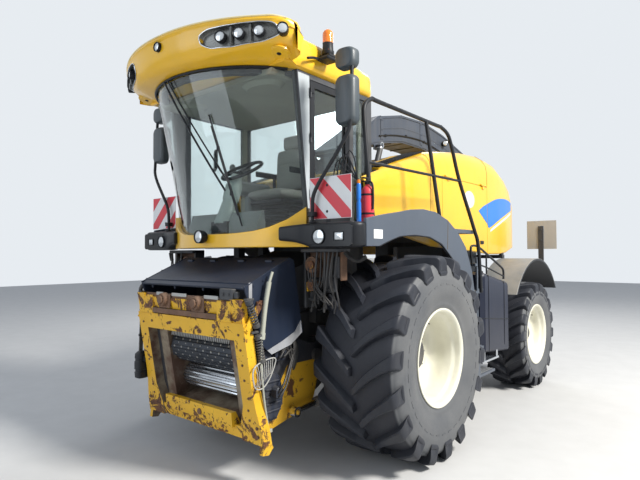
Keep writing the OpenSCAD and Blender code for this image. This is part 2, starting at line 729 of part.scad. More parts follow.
module mirrors() {
    color(black) both_sides() {
        tube_path([[1000, -1040, walkway_z + face_gap], [1000, -1040, 2180], [1035, -1040, 2340],
            [1275, -1020, 2660],
            [1345, -985, 2850], [1345, -960, 3300]], 32, [0, 1, 0]);
        translate([1275, 0, 0]) {
            loft([round_ring(-1030, 95, 2850, 3200, 50, 60), round_ring(-1000, 118, 2830, 3230, 50, 60),
                round_ring(-910, 118, 2830, 3230, 50, 60)]);
            loft([round_ring(-1020, 92, 3292, 3430, 40, 40), round_ring(-1000, 118, 3280, 3442, 40, 40),
                round_ring(-915, 118, 3280, 3442, 40, 40)]);
        }
    }
}

module warning_boards() {
    color(red) both_sides() box([938, -1000, 2100], [1360, -994, 2440]);
    color(black) both_sides() box([1100, -994, walkway_z], [1140, -978, 2400]);
}

// Beacons on brackets beside the roof: the beacon's middle
beacon = [1015, -850];

module beacons() {
    color(black) both_sides() {
        box([950.5, beacon[1] - 45, cab_top_z + 130], [beacon[0] + 55, beacon[1] + 45, cab_top_z + 158]);
        translate([beacon[0], beacon[1], cab_top_z + 158]) cylinder(h = 100, d = 105);
    }
    color("orange") both_sides() translate([beacon[0], beacon[1], cab_top_z + 258]) {
        cylinder(h = 75, d = 90);
        translate([0, 0, 75]) sphere(d = 90, $fn = 24);
    }
}

// Fenders, walkway and ladder

arch_r = 990;

// The outer panel over a front wheel: y and z
fender_outline = concat(
    [[-935, 1878], [-935, 2095], [-674, 2140], [-443, 2172], [-242, 2205], [-27, 2222], [204, 2209],
        [453, 2146],
     [673, 2036], [859, 1887], [1002, 1646], [1095, 1325], [1170, 900], [1205, 480], [930, 480]],
    [for (a = [-20 : 8 : 44]) [arch_r * cos(a), front_axle_z + arch_r * sin(a)]],
    [[540, 1775], [320, 1911], [81, 1972], [-194, 1983], [-446, 1965], [-633, 1918], [-760, 1880]]);

module front_fenders() {
    color(grey) both_sides() side_plate(fender_x - 30, fender_x, fender_outline);
}

module platform() {
    color(grey) both_sides() {
        difference() {
            box([cab_half_w + 20, -930, walkway_z - 40], [fender_x - 30, 1138, walkway_z]);
            box([cab_half_w, hood_stations[0][0] - 5, walkway_z - 50],
                [hood_half_w + 6, 1200, walkway_z + 10]);
        }
        box([580, -510, cab_floor_z - 55], [1080, -420, cab_floor_z - 0.3]);
        box([960, -510, cab_floor_z - 40], [1080, -420, walkway_z - 20]);
    }
    color(steel) {
        for (z = [780, 1080, 1380, 1680]) box([1120, 1225, z], [1400, 1365, z + 28]);
        box([1120, 1225, 480], [1440, 1640, 508]);
        for (x = [1120, 1370]) box([x, 1285, 470], [x + 20, 1315, 1780]);
        for (x = [1120, 1370], z = [760, 1400]) box([x, 1310, z], [x + 20, tank_front_y + 30, z + 28]);
    }
}

rail_top_z = 3115;

module handrails() {
    color(black) {
        tube_path([[1398, -770, walkway_z + face_gap], [1398, -770, 2140], [1375, -768, 2300],
            [1320, -762, 2880], [1308, -735, 3040],
            [1300, -620, rail_top_z], [1300, 640, rail_top_z], [1306, 780, 3060], [1318, 850, 2920],
            [1350, 945, 2600], [1447, 1080, 2090], [1474, 1125, 1900], [1474, 1190, 1400]], rail_d);
        tube_path([[1398, 425, walkway_z + face_gap], [1398, 425, 2120], [1300, 320, rail_top_z]], rail_d);
        tube_path([[1352, -765, 2560], [1350, 945, 2590]], 26);
    }
}

tank_front_y = 1420;

module side_tanks() {
    color(dark) both_sides() difference() {
        translate([1155, 0, 0]) loft([for (p = [[tank_front_y, 205, 720, 1580],
            [tank_front_y + 60, 245, 700, 1610],
            [wheelbase - 1010, 245, 625, 1475], [wheelbase - 950, 205, 640, 1440]])
            round_ring(p[0], p[1], p[2], p[3], 40, 60)]);
        for (x = [1120, 1370], z = [760, 1400])
            box([x - 0.3, 1300, z - 0.3], [x + 20.3, tank_front_y + 30.3, z + 28.3]);
    }
}

module rear_fenders() {
    color(grey) both_sides() difference() {
        translate([960, wheelbase, rear_axle_z]) rotate([0, 90, 0])
            cylinder(h = fender_x - 960, r = rear_arch_r + rear_fender_t, $fn = 96);
        translate([950, wheelbase, rear_axle_z]) rotate([0, 90, 0])
            cylinder(h = 700, r = rear_arch_r, $fn = 96);
        box([900, wheelbase - 1400, -400], [1600, wheelbase + 1400, 1300]);
    }
}

// Hood

// Hood stations along the machine: y, half width, underside, top, lower and upper corner radii
hood_stations = [
    [-300, 1010, 2080, 2560, 20, 120],
    [300, 1035, 2000, 2765, 20, 150],
    [900, 1050, 1900, 2950, 20, 180],
    [1400, 1050, 1870, 3040, 20, 210],
    [1900, 1050, 1850, 3105, 20, 230],
    [2500, 1045, 1810, 3145, 20, 260],
    [2900, 1030, 1810, 3125, 20, 280],
    [3250, 1000, 1830, 3040, 20, 290],
    [3550, 960, 1880, 2915, 20, 280],
    [3740, 920, 1900, 2770, 20, 260],
    [3820, 880, 1900, 2660, 20, 240]];

// The hood's outer or inner skin, moved in by an offset
module hood_body(offset) {
    loft([for (i = [0 : len(hood_stations) - 1])
        let (s = hood_stations[i], end = i == len(hood_stations) - 1)
        round_ring(s[0] + (end ? -offset : 0) + (i == 0 ? -offset : 0), s[1] - offset,
            s[2] - (offset > 0 ? 10 : 0), s[3] - offset,
            s[4] - (offset > 0 ? 5 : 0), s[5] - offset)]);
}

exhaust_foot = [-560, 3480, 2700];
exhaust_tip = [-560, 3560, 2990];
exhaust_d = 130;
panel_y0 = 1150;
panel_y1 = 2460;
panel_top_z = 2700;
panel_axis = [hood_half_w + 12, panel_top_z + 4];
well_r = 585;

module panel_window(side, gap) {
    box([side > 0 ? 800 : -1300, panel_y0 + gap, 1700],
        [side > 0 ? 1300 : -800, panel_y1 - gap, panel_top_z - gap]);
}

// A hinge along the hood: fixed knuckles with a pin through them, or the bored knuckles between
module panel_hinge(fixed) {
    starts = [panel_y0 + 60, panel_y1 - 240];
    for (y = starts) if (fixed) {
        for (k = [0, 120]) {
            translate([panel_axis[0], y + k, panel_axis[1]]) rotate([-90, 0, 0])
                cylinder(h = 60, d = hinge_d);
            box([panel_axis[0] - 26, y + k, panel_axis[1]], [panel_axis[0], y + k + 60, panel_axis[1] + 10]);
        }
        translate([panel_axis[0], y, panel_axis[1]]) rotate([-90, 0, 0]) cylinder(h = 180, d = hinge_pin_d);
    } else difference() {
        union() {
            translate([panel_axis[0], y + 60 + face_gap, panel_axis[1]]) rotate([-90, 0, 0])
                cylinder(h = 60 - 2 * face_gap, d = hinge_d);
            box([panel_axis[0] - 22, y + 60 + face_gap, panel_top_z - 40],
                [panel_axis[0], y + 120 - face_gap, panel_top_z - panel_gap]);
            box([panel_axis[0] - 8, y + 60 + face_gap, panel_top_z - 20],
                [panel_axis[0], y + 120 - face_gap, panel_axis[1]]);
        }
        translate([panel_axis[0], y, panel_axis[1]]) rotate([-90, 0, 0])
            cylinder(h = 200, d = hinge_pin_d + 2 * pin_gap);
    }
}

module hood_shell() {
    color(yellow) {
        difference() {
            hood_body(0);
            hood_body(hood_t);
            for (side = [-1, 1]) panel_window(side, 0);
            box([-960, -400, 1800], [960, 10, 3200]);
            translate([0, turret_y, 2000]) cylinder(h = 1300, r = well_r);
            bar(exhaust_foot, exhaust_tip, exhaust_d + 0.6);
            box([-720, 3700, 1900], [720, 3900, 2420]);
        }
        both_sides() panel_hinge(true);
        for (z = grille_hinge_z) {
            translate([grille_hinge[0], grille_hinge[1], z]) cylinder(h = 40, d = hinge_d);
            translate([grille_hinge[0], grille_hinge[1], z]) cylinder(h = 84, d = hinge_pin_d);
            box([grille_hinge[0], 3812, z], [grille_hinge[0] + 24, grille_hinge[1] + 4, z + 40]);
        }
    }
}

module side_panel() {
    color(yellow) {
        intersection() {
            difference() {
                hood_body(0);
                hood_body(hood_t);
            }
            panel_window(1, panel_gap);
        }
        panel_hinge(false);
    }
}
module side_panel_left() side_panel();
module side_panel_right() mirror([1, 0, 0]) side_panel();

grille_hinge = [736, 3836];
grille_hinge_z = [1980, 2300];

module rear_grille() {
    color(black) {
        difference() {
            box([-714, 3790, 1906], [714, 3825, 2414]);
            for (z = [1960 : 60 : 2340]) box([-640, 3780, z], [640, 3840, z + 30]);
        }
        for (z = grille_hinge_z) difference() {
            union() {
                translate([grille_hinge[0], grille_hinge[1], z + 40 + face_gap])
                    cylinder(h = 40, d = hinge_d);
                box([690, 3821, z + 40 + face_gap],
                    [grille_hinge[0], grille_hinge[1] + 6, z + 80 + face_gap]);
            }
            translate([grille_hinge[0], grille_hinge[1], z])
                cylinder(h = 100, d = hinge_pin_d + 2 * pin_gap);
        }
    }
}

marker_foot_y = wheelbase + 560;
marker_y = wheelbase + 810;
marker_foot_z = rear_axle_z + face_gap
    + sqrt(pow(rear_arch_r + rear_fender_t, 2) - pow(marker_foot_y - wheelbase, 2));

module rear_markers() {
    color(red) both_sides() box([1060, marker_y, 1890], [1483, marker_y + 4, 2313]);
    color(black) both_sides() {
        box([1240, marker_y + 4, 1890], [1290, marker_y + 24, 2280]);
        box([1240, marker_foot_y, marker_foot_z], [1290, marker_y + 24, marker_foot_z + 30]);
        box([1240, marker_y + 4, marker_foot_z], [1290, marker_y + 24, 1900]);
    }
}

module exhaust_pipe() {
    color(steel) bar(exhaust_foot, exhaust_tip, exhaust_d);
}

// Feeder: its own tilt is in the header frame's plane, whose top leans forward

frame_low = [-1380, 330];
frame_top = [-1545, 1290];
frame_t = 90;

// A point on the header frame's front plane at height z
function frame_y(z) = frame_low[0]
    + (frame_top[0] - frame_low[0]) * (z - frame_low[1]) / (frame_top[1] - frame_low[1]);

// A post of the header frame, from its foot upwards: z, inner and outer distance from the middle
post_stations = [[330, frame_half_w - 190, frame_half_w + 55], [450, frame_half_w - 190, frame_half_w + 50],
    [620, frame_half_w - 130, frame_half_w + 15], [760, frame_half_w - 130, frame_half_w],
        [1290, frame_half_w - 130, frame_half_w]];

module header_frame() {
    color(yellow) {
        both_sides() {
            loft([for (p = post_stations) let (y = frame_y(p[0])) [
                [p[1], y, p[0]], [p[1], y + frame_t - face_gap, p[0]], [p[2], y + frame_t - face_gap, p[0]],
                [p[2], y, p[0]]]]);
            side_plate(frame_half_w - 130, frame_half_w - 20, [
                [frame_y(1290) + 10, 1285], [frame_y(1470) + 10, 1470], [frame_y(1470) + 80, 1470],
                    [frame_y(1290) + 80, 1285]]);
            // the foot's hook
            side_plate(frame_half_w + 10, frame_half_w + 50, [
                [frame_y(330) + 5, 335], [frame_y(330) - 5, 262], [frame_y(330) + 60, 250],
                    [frame_y(330) + 110, 300],
                [frame_y(330) + 85, 335]]);
        }
        side_plate(-frame_half_w, frame_half_w, [
            [frame_y(1150), 1150], [frame_y(1290), 1290], [frame_y(1290) + frame_t, 1290],
                [frame_y(1150) + frame_t, 1150]]);
        side_plate(-frame_half_w + 120, frame_half_w - 120, [
            [frame_y(1345) + 20, 1345], [frame_y(1440) + 20, 1440], [frame_y(1440) + 70, 1440],
                [frame_y(1345) + 70, 1345]]);
        side_plate(-frame_half_w + 20, frame_half_w - 20, [
            [frame_y(340) + 10, 340], [frame_y(440) + 10, 440], [frame_y(440) + 80, 440],
                [frame_y(340) + 80, 340]]);
        side_plate(-feed_w / 2 - 20, feed_w / 2 + 20, [
            [frame_y(420) - 20, 420], [frame_y(540) - 10, 540], [frame_y(540) + 40, 540],
                [frame_y(420) + 80, 420]]);
    }
}

arm_x = 560;
arm_t = 45;

module feeder_housing() {
    color(yellow) both_sides() {
        difference() {
            union() {
                side_plate(arm_x, arm_x + arm_t, [
                    [frame_y(360) + frame_t, 360], [frame_y(1280) + frame_t, 1280], [-1150, 1200],
                    [pivot_y - 60, pivot_z + 110], [pivot_y + 80, pivot_z + 80],
                        [pivot_y + 60, pivot_z - 120],
                    [-560, 560], [-600, 440], [-900, 400], [-1120, 360]]);
                cross_bar(arm_x, arm_x + arm_t, pivot_y, pivot_z, 220);
            }
            cross_bar(arm_x - 10, arm_x + arm_t + 10, pivot_y, pivot_z, pivot_d + 2 * pin_gap);
        }
        cross_bar(arm_x + arm_t - 5, lift_x + 34, lift_eye[0], lift_eye[1], 40);
        box([arm_x + arm_t - 5, -1300, 1150], [705, -1240, 1190]);
        difference() {
            side_plate(feed_w / 2, arm_x + 1, [
                [frame_y(420) + frame_t, 440], [frame_y(1160) + frame_t, 1160], [-1000, 1160],
                    [-1000, 560]]);
            cross_bar(feed_w / 2 - 10, arm_x + 10, pivot_y, pivot_z, 2 * drum_r + 30);
            for (r = [upper_roll, lower_roll])
                cross_bar(feed_w / 2 - 10, feed_w / 2 + 80, r[0], r[1], journal_d + 2 * pin_gap);
        }
    }
    color(steel) difference() {
        side_plate(-feed_w / 2 - 1, feed_w / 2 + 1, [
            [frame_y(440) + frame_t, 440], [frame_y(440) + frame_t, 480], [-1000, 560], [-960, 560],
                [-960, 520]]);
        cross_bar(-600, 600, pivot_y, pivot_z, 2 * drum_r + 30);
    }
}

journal_d = 60;
upper_roll = [-1255, 985];
lower_roll = [-1150, 690];

module upper_feed_roll() {
    color(black) {
        cross_bar(-feed_w / 2 + 10, feed_w / 2 - 10, upper_roll[0], upper_roll[1], upper_roll_d - 30);
        translate([-feed_w / 2 + 16, upper_roll[0], upper_roll[1]]) for (i = [0 : 11]) rotate([i * 30, 0, 0])
            translate([0, -16, upper_roll_d / 2 - 25]) cube([feed_w - 32, 32, 24]);
        cross_bar(-feed_w / 2 - 70, feed_w / 2 + 70, upper_roll[0], upper_roll[1], journal_d);
    }
}

module lower_feed_roll() {
    color(steel) {
        cross_bar(-feed_w / 2 + 10, feed_w / 2 - 10, lower_roll[0], lower_roll[1], lower_roll_d - 16);
        translate([-feed_w / 2 + 16, lower_roll[0], lower_roll[1]]) for (i = [0 : 15])
            rotate([i * 22.5, 0, 0])
            translate([0, -6, lower_roll_d / 2 - 16]) cube([feed_w - 32, 12, 15.5]);
        cross_bar(-feed_w / 2 - 70, feed_w / 2 + 70, lower_roll[0], lower_roll[1], journal_d);
    }
}

// The cover over the feed rolls: a bent top sheet with side skirts
module feed_cover() {
    color(dark) difference() {
        side_plate(-720, 720, [
            [-1490, 1480], [-1515, 1560], [-1470, 1590], [-1010, 1790], [-960, 1770], [-850, 1150],
                [-1000, 1060],
            [-1230, 1010], [-1330, 1100], [-1400, 1290]]);
        side_plate(-705, 705, [
            [-1520, 1470], [-1510, 1545], [-1465, 1574], [-1012, 1772], [-900, 1700], [-800, 900],
                [-1400, 900], [-1600, 1300]]);
    }
}

module hose_bundle() {
    color(black) {
        translate([-frame_half_w, 0, 0]) {
            tube_path([[-7, -1400, 1240], [-11, -1405, 1380], [-45, -1430, 1430], [-77, -1450, 1360],
                [-80, -1460, 1200], [-80, -1470, 890]], 40, [0, 1, 0]);
            box([-125, -1520, 640], [-17, -1400, 900]);
            box([-60, -1480, 800], [-0.3, -1440, 860]);
        }
    }
}

// Lift cylinders: pinned to the chassis below the front axle and to the feeder's lower arms
lift_x = 680;
lift_base = [120, 560];
lift_eye = [-900, 470];
lift_barrel_len = 760;
lift_rod_start = 300;
lift_bore = 90;
lift_rod_d = 55;

lift_dir = (lift_eye - lift_base) / norm(lift_eye - lift_base);
lift_angle = atan2(lift_dir[1], lift_dir[0]);

// Places its children at a point in y and z, with their z axis along the cylinder
module along_lift(p) {
    translate([lift_x, p[0], p[1]]) rotate([lift_angle - 90, 0, 0]) children();
}

module lift_barrels() {
    color(dark) both_sides() along_lift(lift_base) {
        difference() {
            union() {
                cylinder(h = lift_barrel_len, d = lift_bore);
                rotate([0, 90, 0]) cylinder(h = 60, d = 100, center = true);
            }
            rotate([0, 90, 0]) cylinder(h = 120, d = 40 + 2 * pin_gap, center = true);
            translate([0, 0, 120]) cylinder(h = lift_barrel_len, d = lift_rod_d + 2 * pin_gap);
        }
    }
}

module lift_rods() {
    full = norm(lift_eye - lift_base);
    color(steel) both_sides() along_lift(lift_base) difference() {
        union() {
            translate([0, 0, lift_rod_start]) cylinder(h = full - lift_rod_start, d = lift_rod_d);
            translate([0, 0, full]) rotate([0, 90, 0]) cylinder(h = 56, d = 90, center = true);
        }
        translate([0, 0, full]) rotate([0, 90, 0]) cylinder(h = 80, d = 50, center = true);
    }
}

// Spout

// The spout's line: y from the turret's axis, height of its underside and of its top
spout_line = [
    [0, 3000, 3010], [250, 3110, 3330], [550, 3190, 3530], [1100, 3290, 3655], [1700, 3290, 3680],
    [2300, 3210, 3600], [3000, 3060, 3430], [3600, 2890, 3230], [4000, 2760, 3080]];
turret_top_z = 2930;
spout_pivot = [330, 2980];
spout_pin_d = 50;

module spout_turret() {
    color(grey) difference() {
        union() {
            translate([0, turret_y, 2660.3]) cylinder(h = 70, r = turret_r);
            translate([0, turret_y, 2700]) cylinder(h = turret_top_z - 2700, r = 240);
            both_sides() side_plate(spout_w / 2 + 12, spout_w / 2 + 42, [
                [turret_y - 60, 2720], [spout_pivot[0] - 40, 2900], [spout_pivot[0] - 40, 3020],
                [spout_pivot[0] + 60, 3020], [turret_y + 120, 2720]]);
            both_sides() cross_bar(spout_w / 2 - 30, spout_w / 2 + 50, spout_pivot[0], spout_pivot[1],
                spout_pin_d);
            side_plate(spout_w / 2 + 108, spout_w / 2 + 126, [
                [turret_y, 2660.3], [turret_y, 2731], [spout_ram_base[0] - 60, 2780],
                    [spout_ram_base[0] + 40, 2780],
                [spout_ram_base[0] + 40, 2700], [turret_y + 160, 2660.3]]);
            cross_bar(spout_w / 2 + 45, spout_w / 2 + 110, spout_ram_base[0], spout_ram_base[1], 30);
        }
        translate([0, turret_y, 2600]) cylinder(h = 400, r = 225);
    }
}

module spout_arch() {
    top = [for (p = spout_line) [turret_y + p[0] - (p[0] == 0 ? 250 : 0), p[2]]];
    low = [for (p = spout_line) [turret_y + p[0] + (p[0] == 0 ? 270 : 0), p[1]]];
    n = len(low) - 1;
    outline = concat([for (i = [0 : n]) low[i]], [for (i = [0 : n]) top[n - i]],
        [[turret_y - 250, 2960], [turret_y + 270, 2960]]);
    color(grey) difference() {
        side_plate(-spout_w / 2, spout_w / 2, outline);
        side_plate(-spout_w / 2 + spout_t, spout_w / 2 - spout_t, concat(
            [for (i = [0 : n]) low[i] + [i == 0 ? -spout_t : 0, spout_t]],
                [low[n] + 0.2 * (low[n] - low[n - 1]) + [0, spout_t]],
            [top[n] + 0.2 * (top[n] - top[n - 1]) - [0, spout_t]],
                [for (i = [0 : n]) top[n - i] + [i == n ? spout_t : 0, -spout_t]],
            [[turret_y - 250 + spout_t, 2900], [turret_y + 270 - spout_t, 2900]]));
        cross_bar(-300, 300, spout_pivot[0], spout_pivot[1], spout_pin_d + 2 * pin_gap);
    }
    color(grey) {
        side_plate(spout_w / 2 - spout_t, spout_w / 2,
            [[1050, 3320], [1050, 3100], [1160, 3100], [1200, 3320]]);
        cross_bar(spout_w / 2 - 4, spout_w / 2 + 95, spout_ram_eye[0], spout_ram_eye[1], 30);
        for (x = [-170, 110]) translate([x, 0, 0]) {
            cross_bar(0, 60, deflector_axis[0], deflector_axis[1], hinge_d);
            box([0, deflector_axis[0] - 40, deflector_axis[1] - 30],
                [60, deflector_axis[0] - 3, deflector_axis[1]]);
        }
        cross_bar(-170, 170, deflector_axis[0], deflector_axis[1], hinge_pin_d);
    }
}

deflector_axis = [turret_y + spout_reach + 4, 3100];

module spout_deflector() {
    hinge_y = turret_y + spout_reach;
    tip_y = hinge_y + deflector_len;
    half = spout_w / 2 + 17;
    color(grey) {
        both_sides() side_plate(half - spout_t, half, [
            [hinge_y - 120, 2840], [hinge_y - 60, 3060], [hinge_y + 20, 3100], [tip_y - 120, 2930],
                [tip_y, 2810],
            [tip_y - 60, 2700], [hinge_y, 2780]]);
        side_plate(-half + 1, half - 1, [
            [hinge_y + 20, 3100], [tip_y - 120, 2930], [tip_y, 2810], [tip_y - 12, 2802],
            [tip_y - 126, 2918], [hinge_y + 20, 3087]]);
        difference() {
            union() {
                cross_bar(-109.7, 109.7, deflector_axis[0], deflector_axis[1], hinge_d);
                box([-109.7, deflector_axis[0], deflector_axis[1] - 6],
                    [109.7, hinge_y + 40, deflector_axis[1] + 4]);
            }
            cross_bar(-200, 200, deflector_axis[0], deflector_axis[1], hinge_pin_d + 2 * pin_gap);
        }
    }
}

spout_ram_base = [930, 2740];
spout_ram_eye = [1100, 3150];
spout_ram_len = 385;

module along_ram() {
    v = spout_ram_eye - spout_ram_base;
    translate([spout_w / 2 + 70, spout_ram_base[0], spout_ram_base[1]])
        rotate([atan2(v[1], v[0]) - 90, 0, 0]) children();
}

module spout_barrel() {
    color(dark) along_ram() difference() {
        union() {
            cylinder(h = spout_ram_len, d = 70);
            rotate([0, 90, 0]) cylinder(h = 40, d = 80, center = true);
        }
        rotate([0, 90, 0]) cylinder(h = 90, d = 30 + 2 * pin_gap, center = true);
        translate([0, 0, 60]) cylinder(h = spout_ram_len, d = 40 + 2 * pin_gap);
    }
}

module spout_rod() {
    full = norm(spout_ram_eye - spout_ram_base);
    color(steel) along_ram() difference() {
        union() {
            translate([0, 0, 90]) cylinder(h = full - 90, d = 40);
            translate([0, 0, full]) rotate([0, 90, 0]) cylinder(h = 38, d = 76, center = true);
        }
        translate([0, 0, full]) rotate([0, 90, 0]) cylinder(h = 60, d = 46, center = true);
    }
}

// The part's frame has its origin on the ground below the middle of the machine's length
module placed() translate([0, -middle_y, 0]) children();

placed() chassis();
placed() front_axle();
placed() rear_axle();
placed() cutter_housing();
placed() engine_block();
placed() cab_shell();
placed() cab_roof();
placed() windscreen();
placed() side_windows();
placed() cab_door();
placed() door_glass();
placed() seat();
placed() steering_console();
placed() front_apron();
placed() light_boxes();
placed() lamps();
placed() mirrors();
placed() warning_boards();
placed() beacons();
placed() front_fenders();
placed() platform();
placed() handrails();
placed() side_tanks();
placed() rear_fenders();
placed() hood_shell();
placed() side_panel_left();
placed() side_panel_right();
placed() rear_grille();
placed() rear_markers();
placed() exhaust_pipe();
placed() header_frame();
placed() feeder_housing();
placed() feed_cover();
placed() upper_feed_roll();
placed() lower_feed_roll();
placed() hose_bundle();
placed() lift_barrels();
placed() lift_rods();
placed() spout_turret();
placed() spout_arch();
placed() spout_deflector();
placed() spout_barrel();
placed() spout_rod();
placed() front_rim_left();
placed() front_rim_right();
placed() front_tyre_left();
placed() front_tyre_right();
placed() rear_rim_left();
placed() rear_rim_right();
placed() rear_tyre_left();
placed() rear_tyre_right();
placed() knuckle_left();
placed() knuckle_right();
placed() tie_rod();
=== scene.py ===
from math import copysign, cos, exp, pi, radians, sin, sqrt

import bmesh
import bpy
from mathutils import Matrix, Vector


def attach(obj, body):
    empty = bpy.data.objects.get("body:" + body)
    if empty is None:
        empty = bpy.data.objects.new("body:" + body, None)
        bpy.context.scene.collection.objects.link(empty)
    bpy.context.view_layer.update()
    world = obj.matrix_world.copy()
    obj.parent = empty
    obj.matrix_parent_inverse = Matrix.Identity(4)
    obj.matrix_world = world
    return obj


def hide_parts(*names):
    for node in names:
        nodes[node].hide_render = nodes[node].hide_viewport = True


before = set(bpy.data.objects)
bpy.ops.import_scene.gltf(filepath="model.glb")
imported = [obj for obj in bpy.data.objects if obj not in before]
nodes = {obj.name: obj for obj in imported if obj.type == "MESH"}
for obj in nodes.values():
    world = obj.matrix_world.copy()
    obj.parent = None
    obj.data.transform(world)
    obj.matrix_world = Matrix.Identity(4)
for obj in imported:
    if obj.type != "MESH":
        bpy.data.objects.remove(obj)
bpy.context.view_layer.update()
SHARP = radians(32)

# Distance from the front axle to the middle of the machine's length
MID = 1.705

# Camera at the photograph's place: yaw, pitch and roll in degrees
CAM_AT = (3.689, -4.166, 1.817)
CAM_TURN = (39.866, 1.611, -.243)
CAM_LENS = 28.826


def add_object(name, data):
    ob = bpy.data.objects.new(name, data)
    bpy.context.scene.collection.objects.link(ob)
    return ob


def place_camera():
    yaw, pitch, roll = (radians(a) for a in CAM_TURN)
    fwd = Vector((-sin(yaw) * cos(pitch), cos(yaw) * cos(pitch), sin(pitch)))
    right = Vector((cos(yaw), sin(yaw), 0))
    up = right.cross(fwd)
    r2 = cos(roll) * right + sin(roll) * up
    u2 = -sin(roll) * right + cos(roll) * up
    cam = add_object("camera", bpy.data.cameras.new("camera"))
    cam.data.sensor_width = 36
    cam.data.lens = CAM_LENS
    cam.data.clip_end = 200
    m = Matrix((r2, u2, -fwd)).transposed().to_4x4()
    m.translation = Vector((CAM_AT[0], CAM_AT[1] - MID, CAM_AT[2]))
    cam.matrix_world = m
    bpy.context.scene.camera = cam


# Mesh building in machine axes: x to the machine's left, y to its rear from the front axle, z up
class Geo:
    def __init__(self):
        self.verts, self.faces, self.slots, self.slot = [], [], [], 0

    def add(self, verts, faces):
        n = len(self.verts)
        self.verts += [tuple(v) for v in verts]
        self.faces += [tuple(n + i for i in f) for f in faces]
        self.slots += [self.slot] * len(faces)

    # A box with chamfered edges
    def block(self, lo, hi, c=.004, turn=None):
        c = min([c] + [(hi[i] - lo[i]) * .45 for i in range(3)])
        ids, verts = {}, []
        for s in [(a, b, d) for a in (0, 1) for b in (0, 1) for d in (0, 1)]:
            for k in range(3):
                ids[s, k] = len(verts)
                verts.append([(hi[i] - (0 if i == k else c)) if s[i] else (lo[i] + (0 if i == k else c))
                    for i in range(3)])
        faces = []
        for k in range(3):
            a, b = (k + 1) % 3, (k + 2) % 3
            for v in (0, 1):
                ring = []
                for p, q in ((0, 0), (1, 0), (1, 1), (0, 1)):
                    s = [0, 0, 0]
                    s[k], s[a], s[b] = v, p, q
                    ring.append(ids[tuple(s), k])
                faces.append(ring)
            for p in (0, 1):
                for q in (0, 1):
                    s, t = [0, 0, 0], [0, 0, 0]
                    s[a] = t[a] = p
                    s[b] = t[b] = q
                    s[k], t[k] = 0, 1
                    s, t = tuple(s), tuple(t)
                    faces.append([ids[s, a], ids[t, a], ids[t, b], ids[s, b]])
        for s in [(a, b, d) for a in (0, 1) for b in (0, 1) for d in (0, 1)]:
            faces.append([ids[s, 0], ids[s, 1], ids[s, 2]])
        if turn:
            at, m = turn
            verts = [Vector(at) + m @ (Vector(v) - Vector(at)) for v in verts]
        self.add(verts, faces)

    # Closed rings joined in turn, with flat ends
    def loft(self, rings, closed=False):
        n, verts = len(rings[0]), [p for r in rings for p in r]
        faces = []
        count = len(rings)
        for k in range(count if closed else count - 1):
            k2 = (k + 1) % count
            for i in range(n):
                j = (i + 1) % n
                faces.append([k * n + i, k * n + j, k2 * n + j, k2 * n + i])
        if not closed:
            faces.append(list(range(n))[::-1])
            faces.append([(count - 1) * n + i for i in range(n)])
        self.add(verts, faces)

    # An open surface through rows of points
    def rows(self, rows):
        n = len(rows[0])
        faces = [[k * n + i, k * n + i + 1, (k + 1) * n + i + 1, (k + 1) * n + i]
            for k in range(len(rows) - 1) for i in range(n - 1)]
        self.add([p for r in rows for p in r], faces)

    # A profile in two axes, given thickness along the third
    def prism(self, axis, pts, lo, hi):
        def at(p, w):
            return (w, p[0], p[1]) if axis == 0 else (p[0], w, p[1]) if axis == 1 else (p[0], p[1], w)
        self.loft([[at(p, lo) for p in pts], [at(p, hi) for p in pts]])

    # A cylinder or cone from a to b, with chamfered ends
    def cyl(self, a, b, r, r2=None, n=20, c=0):
        a, b = Vector(a), Vector(b)
        d = (b - a).normalized()
        u = d.orthogonal().normalized()
        v = d.cross(u)
        r2 = r if r2 is None else r2
        c = min(c, r * .5, r2 * .5, (b - a).length * .4)
        steps = [(a, r - c), (a + d * c, r), (b - d * c, r2), (b, r2 - c)] if c else [(a, r), (b, r2)]
        self.loft([[p + (u * i + v * j) * q for i, j in unit_circle(n)] for p, q in steps])

    # A round tube along a smooth line through points
    def tube(self, pts, r, n=12, smooth=5, closed=False):
        line = spline(pts, smooth, closed)
        rings, side = [], None
        for i, p in enumerate(line):
            if closed:
                d = (line[(i + 1) % len(line)] - line[i - 1]).normalized()
            else:
                d = (line[min(i + 1, len(line) - 1)] - line[max(i - 1, 0)]).normalized()
            side = d.orthogonal() if side is None else side - d * side.dot(d)
            side.normalize()
            v = d.cross(side)
            rings.append([p + (side * c + v * q) * r for c, q in unit_circle(n)])
        self.loft(rings, closed=closed)

    # A profile of (distance along x, radius) turned about an axis along x through (x, y, z)
    def lathe(self, centre, profile, n=48, closed=True):
        x, y, z = centre
        rings = [[(x + p, y + r * i, z + r * j) for p, r in profile] for i, j in unit_circle(n)]
        if closed:
            return self.loft(rings, closed=True)
        m = len(profile)
        faces = [[k * m + i, k * m + i + 1, ((k + 1) % n) * m + i + 1, ((k + 1) % n) * m + i]
            for k in range(n) for i in range(m - 1)]
        self.add([p for r in rings for p in r], faces)

    # A hexagon head on a washer
    def bolt(self, at, way, r=.012, h=.01):
        at, way = Vector(at), Vector(way).normalized()
        self.cyl(at, at + way * h * .3, r * 1.35, n=16, c=.001)
        self.cyl(at + way * h * .3, at + way * h, r, n=6, c=.0015)

    # n bolts on a circle about an axis along x, y or z
    def bolt_ring(self, centre, way, radius, n, r, h, start=0):
        i, j = [(1, 2), (0, 2), (0, 1)][[abs(w) for w in way].index(1)]
        for k in range(n):
            a, at = start + 2 * pi * k / n, list(centre)
            at[i] += radius * cos(a)
            at[j] += radius * sin(a)
            self.bolt(at, way, r, h)

    # The vertices from number n on, turned over to the other side
    def flip(self, n):
        self.verts[n:] = [(-v[0], v[1], v[2]) for v in self.verts[n:]]

